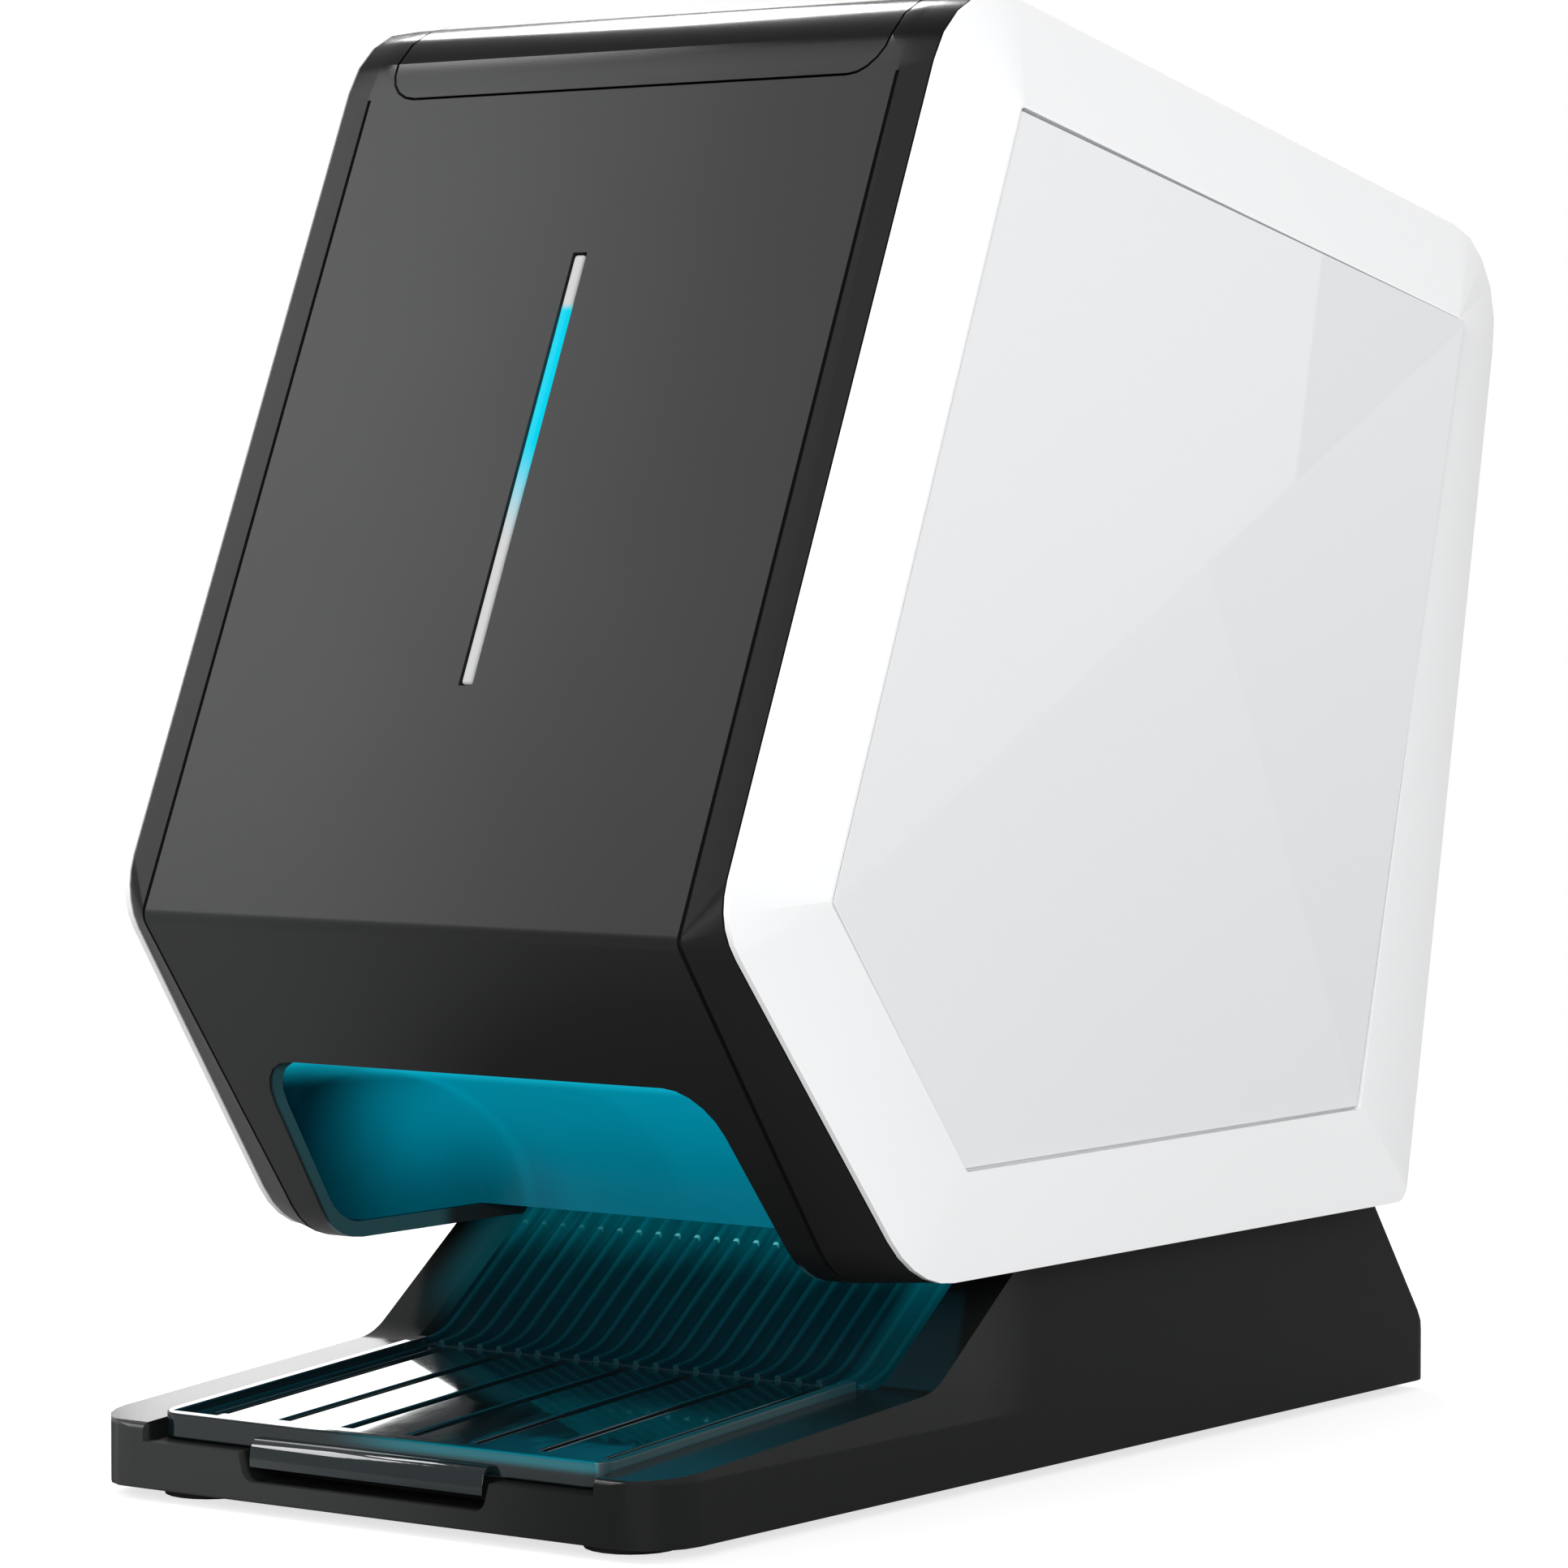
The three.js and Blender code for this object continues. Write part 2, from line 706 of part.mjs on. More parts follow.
function rearCover() {
  const ear = hingeEar()
  const pinBore = cylinderX(hingePinRadius + fitGap, -lidHalfWidth, lidHalfWidth, hingeDepth, hingeHeight)
  return coverBand()
    .intersect(coverRegion(false))
    .subtract(rampPass())
    .subtract(connectorWindow())
    .subtract(neckScrewHoles())
    .add(ear)
    .add(mirrored(ear))
    .subtract(pinBore)
    .add(boardStandoffs())
}

// White side shell: a bevelled dish with a plug that enters the head and a recess for the panel
const panelCorners = [panelTopFront, panelNose, panelChin, panelHeel, panelTopBack].map(pointOf)

function sideShell() {
  const rim = roundedOutline(bodyCorners, bodyRadii)
  const brow = roundedOutline(panelCorners, panelCorners.map(() => panelRecess))
  const dish = loft([
    ringAt(rim, (y, z) => bodySide(z) + fitGap),
    ringAt(rim, (y, z) => bodySide(z) + fitGap + shellEdge),
    ringAt(brow, () => shellPlane),
  ])
  const plugInset = coverWall + 2 * fitGap
  const plugInner = bodyHalfWidth - shellWall
  const plugLine = insetOutline(bodyCorners, bodyRadii, plugInset)
  const plug = loft([
    ringAt(plugLine, () => plugInner),
    ringAt(plugLine, (y, z) => bodySide(z) + fitGap + shellEdge / 2),
  ])
  const hollowLine = insetOutline(bodyCorners, bodyRadii, plugInset + shellWall)
  const hollow = sideSolid(hollowLine, plugInner - cutOver, bodyHalfWidth + shellEdge + fitGap)
  const recessCorners = insetCorners(panelCorners, shellEdge / 2)
  const recessLine = roundedOutline(recessCorners, panelCorners.map(() => shellEdge))
  const recess = sideSolid(recessLine, shellPlane - panelRecess, shellPlane + cutOver)
  return dish.add(plug).subtract(hollow).subtract(recess)
}

// Faceted side panel: four flat facets meeting at two ridge points
function planeThrough(a, b, c) {
  const normal = new THREE.Plane().setFromCoplanarPoints(a, b, c)
  return (y, z) => (-normal.constant - normal.normal.y * y - normal.normal.z * z) / normal.normal.x
}

function sidePanel() {
  const edge = insetCorners(panelCorners, shellEdge / 2 + panelShadowGap)
  const [topFront, nose, chin, heel, topBack] = edge
  const within = (shares) => [
    nose[0] + (topBack[0] - nose[0]) * shares.y,
    chin[1] + (topFront[1] - chin[1]) * shares.z,
  ]
  const topBreak = topFront.map((from, i) => from + (topBack[i] - from) * topBreakShare)
  const lifted = ([y, z], lift) => new THREE.Vector3(panelSeat + lift, y, z)
  const laid = ([y, z], plane) => new THREE.Vector3(plane(y, z), y, z)
  const t = lifted(topFront, topFrontLift)
  const n = lifted(nose, noseLift)
  const h = lifted(heel, heelLift)
  const f = lifted(within(ridgeFrontShares), ridgeFrontLift)
  const upper = planeThrough(t, n, f)
  const b = laid(within(ridgeBackShares), upper)
  const k = laid(topBreak, upper)
  const c = laid(chin, planeThrough(n, f, h))
  const e = laid(topBack, planeThrough(f, b, h))
  const rim = [t, n, c, h, e, k]
  const foot = rim.map((point) => point.clone().setX(shellPlane - panelRecess + fitGap))
  const above = [[t, n, f], [t, f, b], [t, b, k], [k, b, e]]
  const below = [[n, c, h], [n, h, f], [f, h, e], [f, e, b]]
  const triangles = [...above, ...below]
  for (let i = 0; i < rim.length; i += 1) {
    const j = (i + 1) % rim.length
    triangles.push([foot[i], foot[j], rim[j]], [foot[i], rim[j], rim[i]])
  }
  for (let i = 1; i + 1 < rim.length; i += 1) {
    triangles.push([foot[0], foot[i + 1], foot[i]])
  }
  const geometry = new THREE.BufferGeometry().setFromPoints(triangles.flat())
  return toSolid(geometry)
}

// Lid
function topLid() {
  const skin = headSolid(0).intersect(lidBlock(0)).subtract(headSolid(lidWall, cutOver))
  const earFront = hingeDepth - 2 * barrelRadius
  const earRoom = box(barrelHalfWidth, lidHalfWidth + cutOver, earFront, beyondHead, 0, beyondHead)
  const barrel = cylinderX(barrelRadius, -barrelHalfWidth, barrelHalfWidth, hingeDepth, hingeHeight)
  const bore = cylinderX(hingePinRadius + fitGap, -beyondHead, beyondHead, hingeDepth, hingeHeight)
  return skin.subtract(earRoom).subtract(mirrored(earRoom)).add(barrel).subtract(bore)
}

function hingePin() {
  const end = lidHalfWidth - fitGap
  return cylinderX(hingePinRadius, -end, end, hingeDepth, hingeHeight, barSides)
}

// A sloping layer over the bed, between two heights above its floor
function bedLayer(x0, x1, y0, y1, low, high) {
  return sideSolid([
    [y0, bedLine(y0) + low],
    [y1, bedLine(y1) + low],
    [y1, bedLine(y1) + high],
    [y0, bedLine(y0) + high],
  ], x0, x1)
}

// Ramp lines: where the slope leaves the bed, and how thick the sheet is measured upright
const rampLift = rampSheet / Math.cos(Math.atan(neckSlope))
const rampBedGap = (rampSheet + fitGap) / Math.cos(Math.atan(neckSlope))

function rampMeetsBed(under, above) {
  return (rampLine(0) - under - bedFrontHeight - above) / (bedRiseShare - neckSlope)
}

function rampDepthAt(z) {
  return neckTopFront + rampRecess + (z - headBottom) / neckSlope
}

const rampHalfWidth = baseHalfWidth - neckWallThickness - fitGap

// Plan of the base, drawn in evenly by a distance, with tighter corners at the back
function basePlan(inset) {
  const half = baseHalfWidth - inset
  const back = baseDepth - inset
  const radius = planRadius - inset
  const corners = [[-half, inset], [half, inset], [half, back], [-half, back]]
  return roundedOutline(corners, [radius, radius, radius / 2, radius / 2])
}

// Base housing: bed, rims and hollow neck in one moulding
function baseOuter() {
  const deck = headBottom - fitGap
  const profile = roundedOutline([
    [0, footHeight],
    [baseDepth, footHeight],
    [baseDepth, baseRearHeight],
    [neckTopBack, deck],
    [neckTopFront, deck],
    [neckFootDepth, rimLine(neckFootDepth)],
    [0, rimLine(0)],
  ], [shellEdge / 2, shellEdge / 2, baseRearHeight / 4, shellEdge, shellEdge / 2, neckFillet, rimRound])
  const halfWidth = baseHalfWidth
  return sideSolid(profile, -halfWidth, halfWidth).intersect(planSolid(basePlan(0), 0, headBottom))
}

function bedCut() {
  const meet = rampMeetsBed(rampBedGap, 0)
  const end = rampDepthAt(headBottom) + rampBedGap / neckSlope
  const under = (y) => rampLine(y) - rampBedGap
  const channel = trayHalfWidth + fitGap
  const trayPart = sideSolid([
    [-cutOver, bedLine(-cutOver)],
    [rampToe, bedLine(rampToe)],
    [rampToe, headBottom],
    [-cutOver, headBottom],
  ], -channel, channel)
  const rampPart = sideSolid([
    [rampToe - fitGap, bedLine(rampToe - fitGap)],
    [meet, bedLine(meet)],
    [end, under(end)],
    [end, headBottom + cutOver],
    [rampToe - fitGap, headBottom + cutOver],
  ], -rampHalfWidth - fitGap, rampHalfWidth + fitGap)
  return trayPart.add(rampPart)
}

function notchCut() {
  const low = bedFrontHeight - notchDrop
  const flare = notchHalfWidth + notchDrop / 2
  const high = rimLine(notchDepth)
  const corners = [[-notchHalfWidth, low], [notchHalfWidth, low], [flare, high], [-flare, high]]
  const outline = roundedOutline(corners, [notchDrop / 2, notchDrop / 2, fitGap, fitGap])
  return frontSolid(outline, -cutOver, notchDepth)
}

const plateTop = footHeight + floorSheet

function baseCavity() {
  const floorDrop = baseWall
  const meet = rampMeetsBed(rampBedGap, 0)
  const slopeEnd = rampDepthAt(headBottom - baseWall) + (rampBedGap + 2 * baseWall) / neckSlope
  const roof = headBottom - fitGap - baseWall
  const rearShift = neckRearShare * baseWall
  const profile = [
    [baseWall, 0],
    [baseDepth - baseWall, 0],
    [baseDepth - baseWall, baseRearHeight - baseWall / 2],
    [neckTopBack - rearShift, roof],
    [slopeEnd, roof],
    [meet + baseWall, bedLine(meet) - floorDrop],
    [baseWall, bedLine(baseWall) - floorDrop],
  ]
  const halfWidth = baseHalfWidth - baseWall
  const hollow = sideSolid(profile, -halfWidth, halfWidth)
  const notchHalf = notchHalfWidth + notchDrop / 2 + baseWall
  const keep = box(-notchHalf, notchHalf, 0, notchDepth + baseWall, plateTop + fitGap, headBottom)
  return hollow.intersect(planSolid(basePlan(baseWall), -cutOver, headBottom)).subtract(keep)
}

function baseHousing() {
  const bossRadius = 2 * screwRadius + fitGap
  const bosses = rodsAt(plateScrewPlaces, bossRadius, plateTop + fitGap, headBottom, barSides)
  const pilots = rodsAt(plateScrewPlaces, screwRadius + fitGap, 0, bedLine(0) + fitGap, boreSides)
  return baseOuter()
    .subtract(baseCavity())
    .add(bosses.intersect(baseOuter()))
    .subtract(bedCut())
    .subtract(notchCut())
    .subtract(pilots)
    .subtract(neckScrewHoles())
}

// Bottom plate with shallow seats for the feet
const footPlaces = pairedPlaces(baseHalfWidth - footInset, [footFront, footBack])

function bottomPlate() {
  const sinkTop = footHeight + screwHeadHeight / 2 + fitGap
  const seats = rodsAt(footPlaces, footRadius + fitGap, 0, footHeight + footSink, roundSides)
  const holes = rodsAt(plateScrewPlaces, screwRadius + fitGap, 0, headBottom, boreSides)
  const sinks = rodsAt(plateScrewPlaces, screwHeadRadius + fitGap, 0, sinkTop, barSides)
  const sheet = planSolid(basePlan(baseWall + fitGap), footHeight, plateTop)
  return sheet.subtract(seats).subtract(holes).subtract(sinks)
}

function rubberFoot([x, y]) {
  return cylinderZ(footRadius, x, y, 0, footHeight + footSink - fitGap)
}

// Exit ramp: a bent sheet with ribs that the plate slides down; raise lifts its face and under its back
function rampProfile(raise, under) {
  const bottom = fitGap + under
  const top = fitGap + trayFloor + raise
  const meetTop = rampMeetsBed(-raise, top)
  const meetBottom = rampMeetsBed(rampLift - under, bottom)
  const topDepth = rampDepthAt(rampTop)
  return roundedOutline([
    [rampToe, bedLine(rampToe) + bottom],
    [meetBottom, bedLine(meetBottom) + bottom],
    [topDepth, rampTop - rampLift + under],
    [topDepth, rampTop + raise],
    [meetTop, bedLine(meetTop) + top],
    [rampToe, bedLine(rampToe) + top],
  ], [0, 0, 0, 0, neckFillet, 0], 4)
}

function exitRamp() {
  const count = Math.floor((rampHalfWidth - ribWidth) / ribPitch)
  const rib = sideSolid(rampProfile(ribHeight, rampSheet / 2), -ribWidth / 2, ribWidth / 2)
  const ribs = []
  for (let k = -count; k <= count; k += 1) {
    ribs.push(rib.translate([k * ribPitch, 0, 0]))
  }
  return sideSolid(rampProfile(0, 0), -rampHalfWidth, rampHalfWidth).add(join(ribs))
}

// Collection tray: slides forward out of the bed
function collectionTray() {
  const half = trayHalfWidth
  const floorTop = fitGap + trayFloor
  const lipTop = floorTop + trayLip
  const plate = bedLayer(-half, half, trayFront, trayBack, fitGap, lipTop)
  const wellHalf = half - trayLipWidth
  const wellFront = trayFront + trayLipWidth
  const well = bedLayer(-wellHalf, wellHalf, wellFront, baseDepth, floorTop, headBottom)
  const grooveCount = Math.floor(half / trayGroovePitch)
  const grooves = []
  for (let k = -grooveCount; k <= grooveCount; k += 1) {
    const left = k * trayGroovePitch - trayGrooveWidth / 2
    const low = floorTop - trayGrooveDepth
    grooves.push(bedLayer(left, left + trayGrooveWidth, trayGrooveStart, baseDepth, low, lipTop))
  }
  const plan = roundedOutline(
    [[-half, trayFront], [half, trayFront], [half, trayBack], [-half, trayBack]],
    [2 * trayLipWidth, 2 * trayLipWidth, fitGap, fitGap],
  )
  return plate.intersect(planSolid(plan, 0, headBottom)).subtract(well).subtract(join(grooves))
}

// Slot guide under the lid: a well that carries the funnel of the insertion slot
function funnelSolid(grow) {
  const throat = guideTop + mouthGap
  const narrow = throatGap / 2 + grow
  const wide = mouthGap / 2 + grow
  const low = guideTop + (grow > 0 ? fitGap : -cutOver)
  const across = sideSolid([
    [pathDepth - narrow, low],
    [pathDepth + narrow, low],
    [pathDepth + narrow, throat],
    [pathDepth + wide, headTopFront.z],
    [pathDepth - wide, headTopFront.z],
    [pathDepth - narrow, throat],
  ], -lidHalfWidth, lidHalfWidth)
  const along = frontSolid([
    [-pathHalfWidth - grow, low],
    [pathHalfWidth + grow, low],
    [pathHalfWidth + grow, throat],
    [mouthHalfWidth + grow, headTopFront.z],
    [-mouthHalfWidth - grow, headTopFront.z],
    [-pathHalfWidth - grow, throat],
  ], 0, headCrown.y)
  return across.intersect(along)
}

function slotGuide() {
  const top = coverWall + fitGap
  const lip = 2 * coverWall
  const end = hingeDepth - 2 * barrelRadius
  const sheet = headSolid(top).subtract(headSolid(top + guideSheet, cutOver)).intersect(lidBlock(lip))
  const trimmed = sheet.subtract(box(-beyondHead, beyondHead, end, beyondHead, 0, beyondHead))
  const funnel = funnelSolid(guideSheet).intersect(headSolid(top))
  return trimmed.add(funnel).subtract(funnelSolid(0))
}

// Light bar in the fascia and the lamp board behind it
function lightBar() {
  const half = lightBarWidth / 2
  const end = lightBarStart + lightBarLength
  return inFrame(box(-half, half, 0, lightBarDepth, lightBarStart, end), frontFrame)
}

function lightBarBoard() {
  const half = 2.5 * lightBarWidth
  const near = lightBarDepth + fitGap
  const low = lightBarStart - lightBarWidth
  const high = lightBarStart + lightBarLength + lightBarWidth
  return inFrame(box(-half, half, near, near + boardSheet, low, high), frontFrame)
}

// Lamp board that lights the exit hood from above
function exitGlowBoard() {
  const low = bayTop + hoodWall + fitGap
  const front = bayFront + 3 * coverWall
  return box(-rollerHalfLength, rollerHalfLength, front, front + bayCorner, low, low + boardSheet)
}

// Plate path: roller heights and axes
const rollerHeights = [infeedHeight, scanHeight + rollerSpread, scanHeight - rollerSpread]
const driveAxis = pathDepth + rollerPathGap + driveRollerRadius
const pinchAxis = pathDepth - rollerPathGap - pinchRollerRadius
const motorDepth = driveAxis + motorBehindRollers
const motorHeight = opticsTop - opticsSheet - motorSize / 2 - motorBelowShelf
const chassisOuter = chassisHalfWidth + chassisSheet
const pulleyStart = chassisOuter + pulleyFlange + 2 * fitGap
const pulleyEnd = pulleyStart + pulleyWidth + 2 * pulleyFlange
const shaftEnd = pulleyEnd + fitGap
const innerHalf = chassisHalfWidth - fitGap
const chassisLow = headBottom + coverWall + fitGap

function driveRoller(height) {
  const half = rollerHalfLength
  const start = -chassisOuter - pulleyFlange
  const barrel = cylinderX(driveRollerRadius, -half, half, driveAxis, height, rollerSides)
  return barrel.add(cylinderX(driveShaftRadius, start, shaftEnd, driveAxis, height, boreSides))
}

function pinchRoller(height) {
  const half = rollerHalfLength - pinchRollerRadius
  const end = chassisOuter + pulleyFlange
  const barrel = cylinderX(pinchRollerRadius, -half, half, pinchAxis, height, rollerSides)
  return barrel.add(cylinderX(pinchShaftRadius, -end, end, pinchAxis, height, boreSides))
}

function pulleyBody(radius, y, z) {
  const hub = cylinderX(radius, pulleyStart, pulleyEnd, y, z)
  const near = cylinderX(radius + pulleyFlange, pulleyStart, pulleyStart + pulleyFlange, y, z)
  const far = cylinderX(radius + pulleyFlange, pulleyEnd - pulleyFlange, pulleyEnd, y, z)
  return hub.add(near).add(far)
}

function rollerPulley(height) {
  const bore = cylinderX(driveShaftRadius + fitGap, 0, shaftEnd + cutOver, driveAxis, height, boreSides)
  return pulleyBody(pulleyRadius, driveAxis, height).subtract(bore)
}

function motorPulley() {
  const shaft = cylinderX(motorShaftRadius, chassisHalfWidth, shaftEnd, motorDepth, motorHeight, boreSides)
  return pulleyBody(motorPulleyRadius, motorDepth, motorHeight).add(shaft)
}

// Belt outline: arcs round the pulleys joined by their outer tangents
function beltOutline(grow) {
  const wheels = [
    { at: new THREE.Vector2(driveAxis, rollerHeights[0]), radius: pulleyRadius + grow },
    { at: new THREE.Vector2(driveAxis, rollerHeights[2]), radius: pulleyRadius + grow },
    { at: new THREE.Vector2(motorDepth, motorHeight), radius: motorPulleyRadius + grow },
  ]
  const normals = wheels.map((wheel, i) => {
    const next = wheels[(i + 1) % wheels.length]
    const along = next.at.clone().sub(wheel.at)
    return Math.atan2(along.y, along.x) - Math.acos((wheel.radius - next.radius) / along.length())
  })
  return wheels.flatMap((wheel, i) => {
    const from = normals[(i + wheels.length - 1) % wheels.length]
    const turn = THREE.MathUtils.euclideanModulo(normals[i] - from, 2 * Math.PI)
    const arc = []
    for (let k = 0; k <= 2 * cornerSteps; k += 1) {
      const angle = from + (turn * k) / (2 * cornerSteps)
      arc.push([wheel.at.x + wheel.radius * Math.cos(angle), wheel.at.y + wheel.radius * Math.sin(angle)])
    }
    return arc
  })
}

function driveBelt() {
  const low = pulleyStart + pulleyFlange + fitGap
  const high = pulleyEnd - pulleyFlange - fitGap
  const inner = sideSolid(beltOutline(fitGap), 0, shaftEnd)
  return sideSolid(beltOutline(fitGap + beltSheet), low, high).subtract(inner)
}

function driveMotor() {
  const half = motorSize / 2
  const corners = [
    [motorDepth - half, motorHeight - half],
    [motorDepth + half, motorHeight - half],
    [motorDepth + half, motorHeight + half],
    [motorDepth - half, motorHeight + half],
  ]
  const chamfer = roundedOutline(corners, corners.map(() => motorChamfer), 1)
  const stackEnd = innerHalf - motorLength - screwRadius
  const stack = cylinderX(half - screwRadius, stackEnd, innerHalf, motorDepth, motorHeight)
  return sideSolid(chamfer, innerHalf - motorLength, innerHalf).add(stack)
}

// Chassis side plates with their pressed bushes, pinch slots and, on the right, the motor opening
function chassisPlate(withMotor) {
  const profile = [
    [chassisFoot, chassisLow],
    [chassisBack, chassisLow],
    [chassisBack, chassisBackTop],
    [chassisShoulder, chassisTop],
    [chassisFront, chassisTop],
    [chassisFront, bayTop],
    [chassisFoot - 4 * coverWall, guideBottom],
    [chassisFoot, guideBottom - 2 * coverWall],
  ]
  const bushes = rollerHeights.map((height) => {
    const start = chassisOuter - fitGap
    const collar = cylinderX(bushFlange, start, pulleyStart - fitGap, driveAxis, height, barSides)
    return collar.add(cylinderX(bushRadius, innerHalf, chassisOuter, driveAxis, height, barSides))
  })
  const cuts = rollerHeights.flatMap((height) => [
    cylinderX(driveShaftRadius + fitGap, 0, shaftEnd, driveAxis, height, boreSides),
    cylinderX(pinchShaftRadius + fitGap, 0, shaftEnd, pinchAxis, height, boreSides),
    cylinderX(pinchShaftRadius + fitGap, 0, shaftEnd, pinchAxis - 2 * fitGap, height, boreSides),
  ])
  if (withMotor) {
    cuts.push(cylinderX(2 * motorShaftRadius, 0, shaftEnd, motorDepth, motorHeight, barSides))
  }
  return sideSolid(profile, chassisHalfWidth, chassisOuter).add(join(bushes)).subtract(join(cuts))
}

function chassisFloor() {
  const sheet = box(-innerHalf, innerHalf, chassisFoot, chassisBack, chassisLow, chassisLow + floorSheet)
  return sheet.subtract(neckScrewHoles())
}

function chassisBar(y, z) {
  return cylinderX(barRadius, -innerHalf, innerHalf, y, z, barSides)
}

// Sheet guides either side of the path, with windows for the rollers, the lamps and the scan line
function guideWindow(half, low, high) {
  return box(-half, half, chassisFront, motorDepth, low, high)
}

function guideSheetFrom(front) {
  return box(-innerHalf, innerHalf, front, front + guideSheet, guideBottom, guideTop - fitGap)
}

function plateGuideFront() {
  const sheet = guideSheetFrom(pathDepth - pathGap / 2 - guideSheet)
  const half = rollerHalfLength - pinchRollerRadius + runGap
  const reach = pinchRollerRadius + runGap
  const windows = rollerHeights.map((height) => guideWindow(half, height - reach, height + reach))
  windows.push(guideWindow(rollerHalfLength, lampBottom + runGap, lampTop - runGap))
  return sheet.subtract(join(windows))
}

function plateGuideBack() {
  const sheet = guideSheetFrom(pathDepth + pathGap / 2)
  const half = rollerHalfLength + runGap
  const reach = driveRollerRadius + runGap
  const infeed = guideWindow(half, infeedHeight - reach, infeedHeight + reach)
  const scan = guideWindow(half, scanHeight - rollerSpread - reach, scanHeight + rollerSpread + reach)
  return sheet.subtract(infeed).subtract(scan)
}

// One spring strip a side: an upright band whose fingers press the pinch shafts towards the drive rollers
function pinchSpring() {
  const back = pinchAxis - pinchShaftRadius - fitGap
  const front = chassisFront + springSheet
  const low = chassisOuter + fitGap
  const high = low + springWidth
  const foot = rollerHeights[2] - pinchRollerRadius
  const head = rollerHeights[0] + pinchRollerRadius
  const band = box(low, high, front, front + springSheet, foot, head)
  const fingers = rollerHeights.map((height) => {
    const under = height - pinchRollerRadius
    const reach = box(low, high, front, back, under, under + springSheet)
    const pad = box(low, high, back - springSheet, back, under, height + pinchRollerRadius / 2)
    return reach.add(pad)
  })
  return band.add(join(fingers))
}

// Optics on their shelf
function opticsBase() {
  return box(-innerHalf, innerHalf, opticsFront, opticsBack, opticsTop - opticsSheet, opticsTop)
}

const opticsSeat = opticsTop + fitGap
const polygonSeat = opticsSeat + polygonMotorHeight

function polygonMotor() {
  return cylinderZ(polygonMotorRadius, 0, polygonDepth, opticsSeat, polygonSeat)
}

function polygonMirror() {
  const low = scanHeight - polygonHeight / 2
  const high = scanHeight + polygonHeight / 2
  const facets = cylinderZ(polygonRadius, 0, polygonDepth, low, high, polygonSides)
  const tip = high + spindleRadius
  return facets.add(cylinderZ(spindleRadius, 0, polygonDepth, polygonSeat + fitGap, tip, boreSides))
}

function scanLens() {
  const half = lensHalfWidth
  const points = [[-half, lensDepth], [half, lensDepth]]
  for (let k = 0; k <= 2 * cornerSteps; k += 1) {
    const share = 1 - k / cornerSteps
    points.push([half * share, lensDepth + lensSheet + lensBow * (1 - share * share)])
  }
  return planSolid(points, opticsSeat, opticsSeat + lensHeight)
}

function laserModule() {
  const near = polygonMotorRadius + laserRadius
  const far = near + laserLength - 2 * laserRadius
  const y = polygonDepth - laserAheadOfPolygon
  const block = box(near, far, y - laserRadius, y + laserRadius, opticsSeat, scanHeight + laserRadius)
  const radius = laserRadius / 2
  return block.add(cylinderX(radius, near - 2 * fitGap, far + radius, y, scanHeight, barSides))
}

// Light guide: a clear fan that gathers the glow along the scan line into the detector window
function lightGuide() {
  const tilt = Math.tan(detectorTilt * degrees)
  const station = (y, z, halfWidth, halfHeight, lean) => {
    const corners = [[-1, -1], [1, -1], [1, 1], [-1, 1]]
    return corners.map(([u, v]) => [y - v * halfHeight * lean, u * halfWidth, z + v * halfHeight])
  }
  const mouth = scanHeight + guideRise
  const bend = { y: detectorFace.y - guideBend.ahead, z: detectorFace.z - guideBend.down }
  const endHalfWidth = detectorRadius * guideEndShares.width
  const endHalfHeight = detectorRadius * guideEndShares.height
  return loft([
    station(driveAxis - coverWall, mouth, rollerHalfLength - fitGap, coverWall, 0),
    station(driveAxis + driveRollerRadius, mouth, rollerHalfLength - coverWall, coverWall, 0),
    station(bend.y, bend.z, guideBend.halfWidth, guideBend.halfHeight, tilt / 2),
    station(detectorFace.y, detectorFace.z, endHalfWidth, endHalfHeight, tilt),
  ]).rotate([0, 0, 90])
}

const detectorFrame = new THREE.Matrix4().makeTranslation(0, detectorFace.y, detectorFace.z)
detectorFrame.multiply(new THREE.Matrix4().makeRotationX(detectorTilt * degrees))

function photomultiplier() {
  const tube = cylinderY(detectorRadius, 0, fitGap, detectorLength, 0)
  const socketEnd = detectorLength + detectorRadius / 2
  const socket = cylinderY(detectorRadius - 2 * fitGap, 0, detectorLength - fitGap, socketEnd, 0)
  return inFrame(tube.add(socket), detectorFrame)
}

function detectorBracket() {
  const near = detectorRadius
  const half = detectorRadius + 2 * chassisSheet
  const sheet = box(-innerHalf, innerHalf, near, near + chassisSheet, -half, half)
  return inFrame(sheet.subtract(cylinderY(detectorRadius + fitGap, 0, 0, detectorLength, 0)), detectorFrame)
}

// Lamp board that wipes the plate after reading
function eraseLampBoard() {
  const front = pinchAxis - 2 * boardSheet
  const lamp = boardSheet
  const sheet = box(-innerHalf, innerHalf, front, front + boardSheet, lampBottom, lampTop)
  const lamps = []
  const inside = front + boardSheet / 2
  const outside = front + boardSheet + lamp
  for (let k = -lampsEachSide; k <= lampsEachSide; k += 1) {
    const x = k * lampPitch
    for (const z of [lampBottom + lampMargin, lampTop - lampMargin]) {
      lamps.push(box(x - lamp, x + lamp, inside, outside, z - lamp, z + lamp))
    }
  }
  return sheet.add(join(lamps))
}

